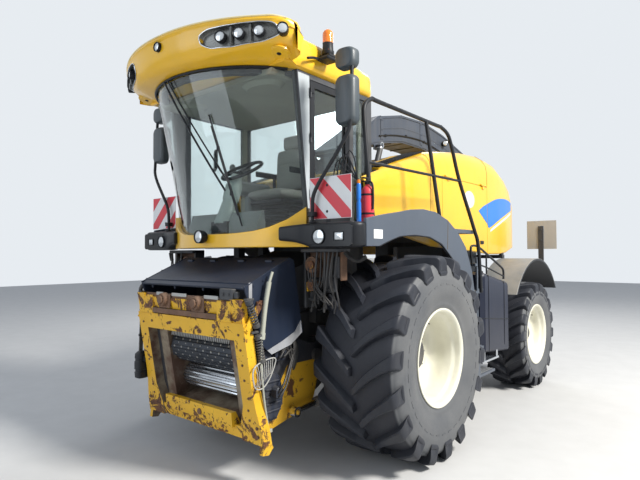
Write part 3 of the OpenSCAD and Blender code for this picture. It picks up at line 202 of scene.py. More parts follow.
    # A block on side s (1 left, -1 right), written for the left
    def sided(self, s, lo, hi, c=.004):
        x0, x1 = sorted((s * lo[0], s * hi[0]))
        self.block((x0, lo[1], lo[2]), (x1, hi[1], hi[2]), c)

    # Both sides: a mirror copy of everything
    def mirrored(self):
        n = len(self.verts)
        self.verts += [(-v[0], v[1], v[2]) for v in self.verts]
        self.faces += [tuple(n + i for i in reversed(f)) for f in self.faces]
        self.slots += self.slots


# (cos, sin) of n equal steps round a circle
def unit_circle(n):
    return [(cos(2 * pi * k / n), sin(2 * pi * k / n)) for k in range(n)]


# v to the power p with its sign kept, which makes a rounded box of a circle
def signed_power(v, p):
    return copysign(abs(v) ** p, v)


# Points along a smooth curve through the given ones
def spline(pts, steps, closed=False):
    pts = [Vector(p) for p in pts]
    if steps <= 1 or len(pts) < 3:
        return pts
    n, out = len(pts), []
    for i in range(n if closed else n - 1):
        p1, p2 = pts[i], pts[(i + 1) % n]
        p0 = pts[i - 1] if closed or i > 0 else p1 * 2 - p2
        p3 = pts[(i + 2) % n] if closed or i + 2 < n else p2 * 2 - p1
        for k in range(steps):
            t = k / steps
            out.append(.5 * (2 * p1 + (p2 - p0) * t + (2 * p0 - 5 * p1 + 4 * p2 - p3) * t * t
                + (3 * p1 - p0 - 3 * p2 + p3) * t ** 3))
    if not closed:
        out.append(pts[-1])
    return out


# A mesh object from a Geo, its materials by key, riding on a body
def piece(name, geo, mats, body, replaces=(), subdivide=0, thick=0):
    me = bpy.data.meshes.new(name)
    me.from_pydata([(v[0], v[1] - MID, v[2]) for v in geo.verts], [], geo.faces)
    for key in mats.split():
        me.materials.append(MATS[key])
    me.polygons.foreach_set("material_index", geo.slots)
    bm = bmesh.new()
    bm.from_mesh(me)
    bmesh.ops.recalc_face_normals(bm, faces=bm.faces)
    for f in bm.faces:
        f.smooth = True
    for e in bm.edges:
        e.smooth = len(e.link_faces) == 2 and e.calc_face_angle(0) < SHARP
    bm.to_mesh(me)
    bm.free()
    ob = add_object(name, me)
    if thick:
        m = ob.modifiers.new("thick", "SOLIDIFY")
        m.thickness, m.offset = thick, 0
    if subdivide:
        m = ob.modifiers.new("subdivide", "SUBSURF")
        m.levels = m.render_levels = subdivide
    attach(ob, body)
    if replaces:
        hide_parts(*replaces)
    return ob


# Node materials
class Mat:
    def __init__(self, name):
        self.m = bpy.data.materials.new(name)
        self.m.use_nodes = True
        self.t = self.m.node_tree
        self.t.nodes.clear()
        self.out = self.t.nodes.new("ShaderNodeOutputMaterial")
        self.bsdf = self.t.nodes.new("ShaderNodeBsdfPrincipled")
        self.t.links.new(self.bsdf.outputs[0], self.out.inputs[0])
        self.coord = self.t.nodes.new("ShaderNodeTexCoord").outputs["Object"]

    def node(self, kind, props=None, **inputs):
        n = self.t.nodes.new(kind)
        for k, v in (props or {}).items():
            setattr(n, k, v)
        for k, v in inputs.items():
            s = n.inputs[int(k[1:])] if k[0] == "i" and k[1:].isdigit() else n.inputs[k.replace("_", " ")]
            self.put(s, v)
        return n

    def put(self, socket, v):
        if isinstance(v, bpy.types.NodeSocket):
            self.t.links.new(v, socket)
        elif isinstance(v, (tuple, list)) and len(v) == 3 and socket.type == "RGBA":
            socket.default_value = (*v, 1)
        else:
            socket.default_value = v

    def stretch(self, scale):
        return self.node("ShaderNodeMapping", Vector=self.coord, Scale=scale).outputs[0]

    def noise(self, scale, detail=4, rough=.55, at=None, warp=0):
        return self.node("ShaderNodeTexNoise", Vector=at or self.coord, Scale=scale, Detail=detail,
            Roughness=rough, Distortion=warp).outputs[0]

    def ramp(self, v, a, b, lo=0, hi=1):
        return self.node("ShaderNodeMapRange", {"clamp": True}, Value=v, From_Min=a, From_Max=b, To_Min=lo,
            To_Max=hi).outputs[0]

    def math(self, op, a, b=0):
        return self.node("ShaderNodeMath", {"operation": op, "use_clamp": op in ("ADD", "SUBTRACT")}, i0=a,
            i1=b).outputs[0]

    # a minus b without a clamp
    def diff(self, a, b):
        return self.node("ShaderNodeMath", {"operation": "SUBTRACT"}, i0=a, i1=b).outputs[0]

    def mix(self, f, a, b):
        n = self.node("ShaderNodeMix", {"data_type": "RGBA"})
        self.put(n.inputs[0], f)
        self.put(n.inputs[6], a)
        self.put(n.inputs[7], b)
        return n.outputs[2]

    def axis(self, k, normal=False):
        src = self.node("ShaderNodeNewGeometry").outputs["Normal"] if normal else self.coord
        return self.node("ShaderNodeSeparateXYZ", Vector=src).outputs[k]

    def bump(self, height, strength=.3, distance=.002):
        n = self.node("ShaderNodeBump", Height=height, Strength=strength, Distance=distance)
        self.put(self.bsdf.inputs["Normal"], n.outputs[0])

    def set(self, **kw):
        for k, v in kw.items():
            self.put(self.bsdf.inputs[k.replace("_", " ")], v)


DUST = (.3, .27, .22)


# A colour made darker or lighter
def shade(c, k):
    return tuple(min(1, x * k) for x in c)


# The rear axle's place as (y, z) in the shared frame
REAR_AXLE = (1.495, .71)

# Places that details are set against, in machine axes. The feed rolls' axes as (y, z):
UPPER_ROLL = (-1.255, .985)
LOWER_ROLL = (-1.15, .69)
# The walkway's top, the front fender's side, the feed cover's side and the tank's rail
DECK = 2.07
FENDER_X = 1.4545
COVER_X = .72
RAIL_X = 1.37
# How far out the mirrors, their arms, the rolls' springs, the tank and the spout's side stand
MIRROR_X = 1.288
ARM_X = 1.345
SPRING_X = .757
TANK_X = 1.4008
ARCH_X = .2
# The cab's floor
FLOOR = 1.94
# The turret's axis, the plane of the rear boards, the foot of the visor and its half width
TURRET_Y = .6
BOARD_Y = 4.01
VISOR_Z = 3.33
VISOR_X = 1.1
# The windscreen's foot and its height
SCREEN_Z = 2
SCREEN_H = 1.33


# Paint, plastic or rubber with tone variation, dust on upward and low faces, and a fine grain
def finish_mat(name, base, rough=.4, metal=0, tone=.12, tone_scale=1.6, dust=.25, low=0, grain=90,
        grain_h=.0004, coat=0, spot=None, spot_at=.62, spot_scale=9, dust_col=DUST, shine=.5):
    m = Mat(name)
    big = m.noise(tone_scale, 5, .6)
    col = m.mix(m.ramp(big, .3, .7), shade(base, 1 - tone), shade(base, 1 + tone))
    streak = m.noise(1, 4, .6, m.stretch((14, 14, 1.6)))
    up = m.ramp(m.axis(2, True), .35, .98)
    fine = m.noise(grain, 3, .6)
    film = m.math("MULTIPLY", m.ramp(streak, .35, .75), dust * .6)
    film = m.math("ADD", film, m.math("MULTIPLY", up, m.math("MULTIPLY", m.ramp(big, .3, .75), dust)))
    if low:
        film = m.math("ADD", film, m.math("MULTIPLY", m.ramp(m.axis(2), 1.6, .3),
            m.math("MULTIPLY", m.ramp(m.noise(5, 6, .65), .35, .7), low)))
    col = m.mix(film, col, dust_col)
    r = m.math("ADD", m.ramp(fine, .3, .7, rough - .05, rough + .05), m.math("MULTIPLY", film, .4))
    if spot:
        chips = m.ramp(m.noise(spot_scale, 7, .7, warp=.6), spot_at, spot_at + .035)
        col = m.mix(chips, col, m.mix(m.ramp(fine, .4, .6), spot, shade(spot, .4)))
        r = m.math("ADD", r, m.math("MULTIPLY", chips, .3))
    m.set(Base_Color=col, Roughness=r, Metallic=metal)
    m.bsdf.inputs["Specular IOR Level"].default_value = shine
    if coat:
        m.bsdf.inputs["Coat Weight"].default_value = coat
        m.bsdf.inputs["Coat Roughness"].default_value = .12
    m.bump(fine, .35, grain_h)
    return m.m


# Header frame: yellow paint, chipped most at its foot and top bar, with bare plates inside the opening
def header_mat():
    m = Mat("header_yellow")
    x, z, nx = m.axis(0), m.axis(2), m.axis(0, True)
    fine, big = m.noise(60, 3, .6), m.noise(3, 5, .6)
    spots, small = m.noise(5.5, 8, .72, warp=.8), m.noise(21, 5, .6, warp=.5)
    more = m.math("ADD", m.ramp(z, .56, .44, 0, .085), m.ramp(z, 1.25, 1.36, 0, .075))
    more = m.math("ADD", more, m.ramp(big, .35, .7, -.03, .05))
    rust = m.math("MAXIMUM", m.ramp(m.math("ADD", spots, more), .575, .605),
        m.ramp(m.math("ADD", small, more), .69, .71))
    bare = m.math("MULTIPLY", m.math("LESS_THAN", m.math("MULTIPLY", nx, x), -.2),
        m.math("LESS_THAN", z, 1.16))
    yellow = m.mix(m.ramp(big, .3, .7), (.66, .36, .015), (.78, .45, .022))
    brown = m.mix(m.ramp(fine, .4, .62), (.055, .022, .014), (.17, .07, .025))
    plate = m.mix(m.ramp(m.noise(4, 6, .65), .42, .6), (.085, .045, .032), (.26, .225, .165))
    col = m.mix(bare, m.mix(rust, yellow, brown), plate)
    m.set(Base_Color=col, Roughness=m.ramp(rust, 0, 1, .42, .75))
    m.bump(m.math("ADD", fine, m.math("MULTIPLY", rust, -1.2)), .4, .0006)
    return m.m


# Tyres: dusty grey sidewalls, and painted shade on the faces that don't face sideways, such as the tread
# between the lugs
def tyre_mat():
    m = Mat("tyre_rubber")
    side = m.ramp(m.math("ABSOLUTE", m.axis(0, True)), .35, .75)
    big, fine = m.noise(2.2, 5, .6), m.noise(70, 3, .6)
    pale = m.mix(m.ramp(big, .3, .7), (.085, .09, .098), (.135, .138, .14))
    # painted shade: the bluish near-black given to every face that doesn't face sideways
    dark = m.mix(m.ramp(big, .3, .7), (.018, .02, .028), (.032, .034, .042))
    m.set(Base_Color=m.mix(side, dark, pale), Roughness=m.ramp(fine, .3, .7, .52, .64))
    m.bsdf.inputs["Specular IOR Level"].default_value = .35
    m.bump(fine, .35, .001)
    return m.m


# Rear fenders: pale with dust on top, and painted shade in near-black on the faces turned towards the axle
def fender_mat():
    m = Mat("fender_rear")
    along, up = m.diff(m.axis(1), REAR_AXLE[0]), m.diff(m.axis(2), REAR_AXLE[1])
    outer = m.math("GREATER_THAN", m.math("ADD", m.math("MULTIPLY", m.axis(2, True), up),
        m.math("MULTIPLY", m.axis(1, True), along)), .1)
    film = m.ramp(m.noise(5, 6, .65), .3, .75, 0, .35)
    pale = m.mix(film, (.2, .205, .2), (.42, .4, .36))
    # painted shade: the faces turned towards the axle are near-black
    m.set(Base_Color=m.mix(outer, (.02, .022, .026), pale), Roughness=.5)
    m.bump(m.noise(120, 3, .6), .3, .0004)
    return m.m


# The feeder's sides: rusty inside, yellow on the lower arms, dark above them
def feeder_mat():
    m = Mat("feeder_paint")
    x, y, z = m.math("ABSOLUTE", m.axis(0)), m.axis(1), m.axis(2)
    fine, big, spots = m.noise(60, 3, .6), m.noise(4, 6, .65), m.noise(6, 7, .7, warp=.6)
    outer = m.math("GREATER_THAN", x, .5602)
    arm = m.math("MULTIPLY", m.math("LESS_THAN", z, .86), m.math("GREATER_THAN",
        m.diff(y, m.math("MULTIPLY", z, .65)), -3.19))
    yellow = m.mix(m.ramp(spots, .56, .6), (.7, .39, .022), (.12, .05, .02))
    dark = m.mix(m.ramp(big, .3, .7), (.018, .022, .032), (.05, .05, .055))
    inner = m.mix(m.ramp(big, .42, .62), (.1, .055, .035), (.26, .22, .16))
    col = m.mix(outer, inner, m.mix(arm, dark, yellow))
    m.set(Base_Color=col, Roughness=m.ramp(fine, .3, .7, .5, .65))
    m.bump(fine, .35, .0006)
    return m.m


# Cab glass with a faint film of dust
def glass_mat():
    m = Mat("cab_glass")
    film = m.ramp(m.noise(2.5, 6, .65, m.stretch((1, 1, .35))), .42, .8, 0, .06)
    m.set(Base_Color=m.mix(film, (.88, .955, .95), (.75, .77, .76)), Roughness=m.math("ADD", film, .02),
        IOR=1.45)
    m.bsdf.inputs["Transmission Weight"].default_value = 1
    return m.m


# Finishes by key: name, colour, roughness and what differs from finish_mat's usual values
FINISHES = {
    "yellow": ("yellow_paint", (.84, .475, .014), .3, dict(tone=.06, dust=.1, coat=.35, grain=160,
        grain_h=.0001)),
    "grey": ("fender_grey", (.07, .086, .112), .38, dict(tone=.06, dust=.05, low=.12, shine=.35)),
    "tank": ("tank_dark", (.012, .016, .032), .32, dict(tone=.08, dust=.02, low=.04, grain=200, shine=.25)),
    "gloss": ("gloss_black", (.006, .007, .01), .16, dict(tone=.05, dust=.01, shine=.3)),
    "dark": ("chassis_dark", (.03, .034, .042), .5, dict(dust=.25, low=.35, spot=(.1, .05, .03),
        spot_at=.68)),
    "black": ("black_plastic", (.012, .014, .018), .42, dict(dust=.05, grain=220, shine=.25)),
    "cover": ("rubber_cover", (.016, .024, .045), .38, dict(tone=.2, dust=.03, grain=120, shine=.3,
        spot=(.1, .115, .14), spot_at=.7, spot_scale=5)),
    "cream": ("rim_cream", (.76, .745, .62), .42, dict(tone=.05, dust=.22, low=.25,
        dust_col=(.36, .31, .24))),
    "steel": ("worn_steel", (.36, .36, .35), .36, dict(metal=.85, tone=.2, dust=.2, spot=(.16, .08, .04),
        spot_at=.63)),
    "chrome": ("rod_chrome", (.62, .63, .64), .16, dict(metal=1, tone=.05, dust=.06)),
    "spout": ("spout_grey", (.05, .062, .085), .46, dict(tone=.2, dust=.14, shine=.35)),
    "red": ("board_red", (.62, .03, .05), .35, dict(dust=.15)),
    "amber": ("amber_lens", (.85, .22, .01), .15, dict(dust=.05, coat=.5)),
    "seat": ("seat_fabric", (.03, .034, .042), .85, dict(dust=.1, grain=400, grain_h=.0015)),
    "lens": ("lamp_lens", (.62, .65, .67), .12, dict(metal=.6, dust=.1, coat=.6)),
    "hose": ("hose_rubber", (.02, .02, .022), .5, dict(dust=.2)),
    # the lugs: dark rubber, made darker and bluish as painted shade
    "tread": ("tyre_tread_with_painted_shade", (.018, .021, .03), .5, dict(tone=.2, dust=.1, low=.08, shine=.3, grain=70,
        grain_h=.001, dust_col=(.2, .195, .185))),
    "seam": ("seam_dark", (.1, .06, .012), .6, dict(dust=.1)),
    "blue": ("shape_blue", (.01, .165, .6), .3, dict(tone=.04, dust=.03)),
    "pale": ("shape_pale", (.66, .69, .72), .35, dict(tone=.04, dust=.1)),
    "pale_warm": ("plate_pale", (.74, .66, .6), .4, dict(tone=.04, dust=.1)),
    "white": ("board_white", (.72, .73, .73), .35, dict(tone=.05, dust=.15)),
    "board_back": ("board_back", (.42, .41, .38), .5, dict(tone=.1, dust=.3)),
    "mirror_case": ("mirror_case", (.045, .06, .072), .4, dict(dust=.2, grain=200)),
    "seat_pale": ("seat_cloth", (.34, .33, .3), .85, dict(tone=.1, dust=.05, grain=500, grain_h=.0012)),
    "trim": ("cab_trim", (.19, .205, .2), .6, dict(dust=.1, grain=250)),
    "pale_grey": ("pale_grey", (.42, .42, .4), .5, dict(dust=.3, spot=(.16, .09, .05), spot_at=.66)),
    "lever": ("lever_grey", (.4, .41, .34), .45, dict(dust=.2, spot=(.2, .12, .06), spot_at=.68)),
    "roll_dark": ("roll_dark", (.035, .042, .055), .42, dict(metal=.6, tone=.3, tone_scale=8, dust=.1)),
    "bright": ("bright_steel", (.55, .58, .62), .22, dict(metal=.95, tone=.15, tone_scale=5, dust=.08)),
    "dark_blue": ("casting_dark", (.022, .028, .045), .45, dict(dust=.2, tone=.3, tone_scale=5)),
    "scuff": ("cover_scuff", (.3, .31, .33), .6, dict(tone=.2, tone_scale=6, dust=.3)),
    "liner": ("recess_lining", (.16, .165, .16), .28, dict(metal=.5, tone=.25, tone_scale=6, dust=.1)),
    "pale_yellow": ("lip_pale", (.78, .66, .34), .35, dict(tone=.05, dust=.1)),
    # a painted reflection, laid as pale strips on the corner pillars
    "pillar": ("pillar_painted_reflection", (.42, .46, .48), .3, dict(dust=.08)),
    "trim_warm": ("cab_lining", (.3, .3, .24), .7, dict(dust=.05, grain=250)),
    "screen": ("monitor_glass", (.02, .03, .04), .1, dict(dust=.02, coat=.5)),
    "column": ("column_grey", (.33, .38, .36), .5, dict(tone=.06, dust=.08, grain=250)),
    "rust": ("rusty_steel", (.13, .065, .035), .7, dict(tone=.3, tone_scale=6, dust=.25, spot=(.34, .2, .03),
        spot_at=.66)),
}
MATS = {}


def make_materials():
    for key, (name, colour, rough, more) in FINISHES.items():
        MATS[key] = finish_mat(name, colour, rough, **more)
    MATS.update(frame_yellow=header_mat(), fender_rear=fender_mat(), rubber=tyre_mat(), feeder=feeder_mat(),
        glass=glass_mat())


# The material of each CAD node
NODE_MATS = {
    "yellow": ("cab_roof", "front_apron", "hood_shell", "side_panel_left", "side_panel_right"),
    "frame_yellow": ("header_frame",),
    "feeder": ("feeder_housing",),
    "grey": ("front_fenders", "platform", "engine_block"),
    "fender_rear": ("rear_fenders",),
    "tank": ("side_tanks",),
    "spout": ("spout_turret", "spout_arch", "spout_deflector"),
    "dark": ("chassis", "front_axle", "rear_axle", "cutter_housing", "cab_shell", "knuckle_left",
        "knuckle_right", "lift_barrels", "spout_barrel"),
    "black": ("cab_door", "steering_console", "light_boxes", "mirrors", "handrails", "rear_grille",
        "upper_feed_roll"),
    "cover": ("feed_cover",),
    "cream": ("front_rim_left", "front_rim_right", "rear_rim_left", "rear_rim_right"),
    "steel": ("tie_rod", "exhaust_pipe", "lower_feed_roll"),
    "chrome": ("lift_rods", "spout_rod"),
    "rubber": ("front_tyre_left", "front_tyre_right", "rear_tyre_left", "rear_tyre_right"),
    "red": ("warning_boards", "rear_markers"),
    "amber": ("beacons",),
    "seat": ("seat",),
    "lens": ("lamps",),
    "hose": ("hose_bundle",),
    "glass": ("windscreen", "side_windows", "door_glass"),
}


# A modifier that shades a solid smooth except at its sharp edges
def smooth_group():
    g = bpy.data.node_groups.new("smooth_by_angle", "GeometryNodeTree")
    g.interface.new_socket("Geometry", in_out="INPUT", socket_type="NodeSocketGeometry")
    g.interface.new_socket("Geometry", in_out="OUTPUT", socket_type="NodeSocketGeometry")
    a, z = g.nodes.new("NodeGroupInput"), g.nodes.new("NodeGroupOutput")
    merge = g.nodes.new("GeometryNodeMergeByDistance")
    merge.inputs["Distance"].default_value = .00002
    angle = g.nodes.new("GeometryNodeInputMeshEdgeAngle")
    test = g.nodes.new("FunctionNodeCompare")
    test.data_type, test.operation = "FLOAT", "GREATER_THAN"
    test.inputs[1].default_value = SHARP
    faces, edges = g.nodes.new("GeometryNodeSetShadeSmooth"), g.nodes.new("GeometryNodeSetShadeSmooth")
    edges.domain = "EDGE"
    edges.inputs["Shade Smooth"].default_value = False
    link = g.links.new
    link(a.outputs[0], merge.inputs[0])
    link(merge.outputs[0], faces.inputs["Geometry"])
    link(faces.outputs[0], edges.inputs["Geometry"])
    link(angle.outputs[0], test.inputs[0])
    link(test.outputs[0], edges.inputs["Selection"])
    link(edges.outputs[0], z.inputs[0])
    return g


# Nodes whose edges get a small round, with its width
SOFT_EDGED = {
    "header_frame": .007, "front_apron": .006, "light_boxes": .012, "front_fenders": .006, "feed_cover": .006,
    "cab_door": .006, "engine_block": .02, "platform": .003, "feeder_housing": .004, "spout_arch": .004,
    "side_tanks": .008, "rear_fenders": .004}


# Merges flat faces and rounds the sharp edges
def soften(ob, group, width):
    ob.modifiers.new("merge", "NODES").node_group = group
    flat = ob.modifiers.new("flat", "DECIMATE")
    flat.decimate_type, flat.angle_limit = "DISSOLVE", radians(.4)
    m = ob.modifiers.new("edges", "BEVEL")
    m.width, m.segments, m.angle_limit, m.harden_normals = width, 3, radians(28), False
    m.use_clamp_overlap = True
    ob.modifiers.new("smooth", "NODES").node_group = group


def dress_nodes():
    group = smooth_group()
    for key, names in NODE_MATS.items():
        for n in names:
            ob = nodes[n]
            ob.data.materials.clear()
            ob.data.materials.append(MATS[key])
            if n in SOFT_EDGED:
                soften(ob, group, SOFT_EDGED[n])
            else:
                ob.modifiers.new("smooth", "NODES").node_group = group


def make_stage():
    me = bpy.data.meshes.new("floor")
    me.from_pydata([(-30, -30, 0), (30, -30, 0), (30, 30, 0), (-30, 30, 0)], [], [(0, 1, 2, 3)])
    ob = add_object("floor", me)
    m = Mat("floor_pale")
    grain = m.noise(3, 6, .6)
    m.set(Base_Color=m.mix(m.ramp(grain, .3, .7), (.56, .56, .55), (.6, .6, .59)), Roughness=.9)
    me.materials.append(m.m)
    make_sky()


# A sky that lights the scene with one colour and is seen in another, directly or in glass and paint
def make_sky():
    world = bpy.data.worlds.new("world")
    bpy.context.scene.world = world
    world.use_nodes = True
    t = world.node_tree
    t.nodes.clear()
    out, mix = t.nodes.new("ShaderNodeOutputWorld"), t.nodes.new("ShaderNodeMixShader")
    path = t.nodes.new("ShaderNodeLightPath")
    seen = path.outputs["Is Camera Ray"]
    for kind in ("Is Glossy Ray", "Is Transmission Ray"):
        either = t.nodes.new("ShaderNodeMath")
        either.operation, either.use_clamp = "ADD", True
        t.links.new(seen, either.inputs[0])
        t.links.new(path.outputs[kind], either.inputs[1])
        seen = either.outputs[0]
    t.links.new(seen, mix.inputs[0])
    for k, colour, strength in ((1, (.78, .86, 1, 1), .48), (2, (.8, .84, .88, 1), 1)):
        back = t.nodes.new("ShaderNodeBackground")
        back.inputs[0].default_value, back.inputs[1].default_value = colour, strength
        t.links.new(back.outputs[0], mix.inputs[k])
    t.links.new(mix.outputs[0], out.inputs[0])


def area_light(name, at, aim, size, power, colour=(1, 1, 1)):
    d = bpy.data.lights.new(name, "AREA")
    d.size, d.energy, d.color = size, power, colour
    ob = add_object(name, d)
    a, b = Vector(at), Vector(aim)
    ob.location = a
    ob.rotation_mode = "QUATERNION"
    ob.rotation_quaternion = (b - a).to_track_quat("-Z", "Y")


def make_lights():
    area_light("key", (10.5, -.2, 9.5), (0, -.5, 1.2), 2.6, 2700, (1, .97, .92))
    area_light("fill", (-2, -11, 4), (0, -1, 1.2), 6, 230, (.85, .92, 1))
    area_light("back", (-6, 9, 8), (0, 0, 1.5), 6, 420)


# Wheels: diameter, width, rim diameter, rim width, centre of the left wheel
FRONT = (1.81, .79, .813, .686, (1.25, 0, .905))
REAR = (1.42, .54, .762, .457, (1.19, 3.2, .71))
LUG = .045
LUGS = 18

# Stations of a tread lug: share of the half width, share of its sweep, drop of its top, half widths of its
# top and its root, and depth of its root; drops and depths are in lug heights
LUG_STATIONS = [[.03, 0, .22, .024, .044, 2], [.06, .03, 0, .031, .048, 2], [.36, .42, 0, .036, .052, 2],
    [.7, .76, .05, .043, .062, 2.2], [.88, .91, .2, .05, .074, 2.7], [.955, .97, .42, .053, .08, 3],
    [.99, 1, .9, .053, .082, 3.2], [1, 1.02, 1.5, .05, .078, 3.5], [.995, 1.03, 2.2, .044, .068, 3.8],
    [.975, 1.04, 3.2, .028, .05, 4.2]]


# Rows of numbers with smooth rows between them
def blend_rows(rows, k):
    out, n = [], len(rows)
    for i in range(n - 1):
        four = rows[max(i - 1, 0)], rows[i], rows[i + 1], rows[min(i + 2, n - 1)]
        for s in range(k):
            t = s / k
            out.append([.5 * (2 * b + (c - a) * t + (2 * a - 5 * b + 4 * c - e) * t * t
                + (3 * b - a - 3 * c + e) * t ** 3) for a, b, c, e in zip(*four)])
    return out + [list(rows[-1])]


# One lug of the tread, from the middle to the shoulder
def add_lug(g, spec, side, a, flip):
    d, w, (cx, cy, cz) = spec[0], spec[1], spec[4]
    sweep = .75 * w / d
    rings = []
    for share, turn, drop, top_w, low_w, depth in blend_rows(LUG_STATIONS, 3):
        top, low = d / 2 - drop * LUG, d / 2 - depth * LUG
        mid, t, q = a - sweep * turn, top_w / top, low_w / top
        ring = [(low, mid + q), (top - .01, mid + t * 1.12), (top, mid + t * .82), (top, mid - t * .82),
            (top - .01, mid - t * 1.12), (low, mid - q)]
        rings.append([(side * (cx + flip * share * w / 2), cy + r * cos(b), cz + r * sin(b))
            for r, b in ring])
    g.loft(rings)


def make_tyre(end, word, spec, side):
    d, w, rd, rw, (cx, cy, cz) = spec
    bead, wall = rd / 2, (d - rd) / 2
    half = [[rw / 2, bead + .001], [rw / 2 + .002, bead + .03], [w * .462, bead + wall * .2],
        [w * .487, bead + wall * .34], [w * .496, bead + wall * .48], [w * .492, bead + wall * .62],
        [w * .475, d / 2 - LUG * 2.9], [w * .448, d / 2 - LUG * 2.2], [w * .4, d / 2 - LUG * 1.62],
        [w * .2, d / 2 - LUG * 1.36], [0, d / 2 - LUG * 1.32]]
    prof = []
    for x, r in blend_rows(half, 6):
        q = (r - bead) / wall
        for at, wide, high in ((.115, .022, .006), (.16, .01, .0025), (.4, .009, .0025), (.565, .012, .003)):
            x += high * exp(-((q - at) / wide) ** 2)
        prof.append((x, r))
    prof = prof + [(-x, r) for x, r in prof[-2::-1]]
    g = Geo()
    g.lathe((side * cx, cy, cz), prof, 120)
    g.slot = 1
    lead = .022 / (d / 2)
    for i in range(LUGS):
        add_lug(g, spec, side, -pi / 2 + lead + i * 2 * pi / LUGS, 1)
        add_lug(g, spec, side, -pi / 2 + lead + (i + .5) * 2 * pi / LUGS, -1)
    # raised blank bars around the sidewall
    g.slot = 0
    for k in range(36):
        b = (k + .5) * pi / 18
        r0, r1 = bead + wall * .47, bead + wall * .5
        g.loft([[(side * (cx + x), cy + r * cos(c), cz + r * sin(c)) for x, r, c in ((w * .49, r0, b + e),
            (w * .499, r0 + .002, b + e), (w * .499, r1 - .002, b + e), (w * .49, r1, b + e))]
            for e in (-.05, -.02, .02, .05)])
    piece(f"{end}_tyre_tread_{word}", g, "rubber tread", f"{end}_{word}_wheel", [f"{end}_tyre_{word}"])


FRONT_RIM = [(.343, .4065), (.343, .43), (.347, .4325), (.354, .4325), (.357, .429), (.357, .42),
    (.351, .411), (.344, .403), (.33, .395), (.3, .3925), (.29, .389), (.272, .375), (.255, .3665),
    (.16, .36), (.12, .356), (.09, .345), (.068, .328), (.052, .302), (.045, .27), (.04, .235), (.04, .15),
    (.037, .1405), (.018, .1405), (.018, .26), (.022, .31), (.04, .345), (.02, .36), (-.25, .366),
    (-.272, .375), (-.29, .389), (-.3, .3925), (-.343, .3945), (-.357, .42), (-.357, .429), (-.354, .4325),
    (-.348, .4325), (-.343, .43), (-.343, .4065)]
REAR_RIM = [(.2285, .381), (.2285, .404), (.232, .407), (.239, .407), (.2425, .403), (.2425, .395),
    (.236, .386), (.229, .378), (.215, .37), (.195, .3675), (.186, .362), (.172, .349), (.158, .3405),
    (.11, .336), (.09, .33), (.072, .316), (.058, .295), (.049, .265), (.042, .235), (.04, .21), (.04, .11),
    (.037, .1005), (.018, .1005), (.018, .25), (.022, .29), (.04, .325), (.02, .336), (-.158, .3405),
    (-.172, .349), (-.186, .362), (-.195, .3675), (-.2285, .37), (-.2425, .395), (-.2425, .403),
    (-.239, .407), (-.232, .407), (-.2285, .404), (-.2285, .381)]


def make_rim(end, word, spec, prof, bolt_r, side):
    cx, cy, cz = spec[4]
    g = Geo()
    g.lathe((side * cx, cy, cz), [(side * x, r) for x, r in prof], 96)
    disc = max(x for x, r in prof if r < bolt_r)
    # welded pads between disc and barrel
    for k in range(8):
        a = (k + .5) * pi / 4
        r0, r1 = bolt_r + .075, bolt_r + .118
        g.loft([[(side * (cx + disc + e), cy + r * cos(a + b), cz + r * sin(a + b))
            for r, b in ((r0, -.1), (r1, -.075), (r1, .075), (r0, .1))] for e in (-.004, .007, .009)])
    g.slot = 1
    for k in range(10):
        a = k * pi / 5
        at = (side * (cx + disc), cy + bolt_r * cos(a), cz + bolt_r * sin(a))
        g.bolt(at, (side, 0, 0), .016, .02)
        g.cyl(Vector(at) + Vector((side * .018, 0, 0)), Vector(at) + Vector((side * .034, 0, 0)), .009, n=12,
            c=.001)
    g.slot = 2
    r = prof[15][1] - .012
    g.tube([(side * (cx + .07), cy + r * .6, cz + r * .8), (side * (cx + .1), cy + (r - .01) * .6,
        cz + (r - .01) * .8), (side * (cx + .135), cy + (r - .012) * .6, cz + (r - .012) * .8)], .005, n=10,
        smooth=3)
    piece(f"{end}_wheel_disc_{word}", g, "cream steel black", f"{end}_{word}_wheel", [f"{end}_rim_{word}"])


def add_hub(g, side, spec, prof, n, bolts, face, bolt_r, size):
    x, y, z = spec[4]
    x = side * (x + .04)
    g.lathe((x, y, z), [(side * p, r) for p, r in prof], n, False)
    g.bolt_ring((x + side * face, y, z), (side, 0, 0), bolt_r, bolts, size, size)


FRONT_HUB = [(-.02, .1395), (.052, .1395), (.06, .134), (.062, .112), (.075, .104), (.078, .06), (.09, .052),
    (.092, 0)]
REAR_HUB = [(-.02, .0995), (.052, .0995), (.061, .094), (.063, .07), (.08, .062), (.082, .03), (.084, 0)]


def make_hubs():
    g = Geo()
    for side in (1, -1):
        add_hub(g, side, FRONT, FRONT_HUB, 48, 12, .061, .122, .007)
    piece("front_hub_covers", g, "dark", "chassis")
    for side, word in ((1, "left"), (-1, "right")):
        g = Geo()
        add_hub(g, side, REAR, REAR_HUB, 40, 6, .062, .082, .006)
        piece("rear_hub_cover_" + word, g, "dark", "knuckle_" + word)


def make_wheels():
    for word, side in (("left", 1), ("right", -1)):
        for end, spec in (("front", FRONT), ("rear", REAR)):
            make_tyre(end, word, spec, side)
        for end, spec, prof, bolt_r in (("front", FRONT, FRONT_RIM, .195), ("rear", REAR, REAR_RIM, .15)):
            make_rim(end, word, spec, prof, bolt_r, side)
    make_hubs()


# Hood stations: y, half width, underside, top, upper corner radius
HOOD = [[-.3, 1.01, 2.08, 2.56, .12], [.3, 1.035, 2, 2.765, .15], [.9, 1.05, 1.9, 2.95, .18],
    [1.4, 1.05, 1.87, 3.04, .21], [1.9, 1.05, 1.85, 3.105, .23], [2.5, 1.045, 1.81, 3.145, .26],
    [2.9, 1.03, 1.81, 3.125, .28], [3.25, 1, 1.83, 3.04, .29], [3.55, .96, 1.88, 2.915, .28],
    [3.74, .92, 1.9, 2.77, .26], [3.82, .88, 1.9, 2.66, .24]]


# The station's row at distance y
def hood_at(y):
    for a, b in zip(HOOD, HOOD[1:]):
        if y <= b[0] or b is HOOD[-1]:
            t = min(1, max(0, (y - a[0]) / (b[0] - a[0])))
            return [p + (q - p) * t for p, q in zip(a, b)]


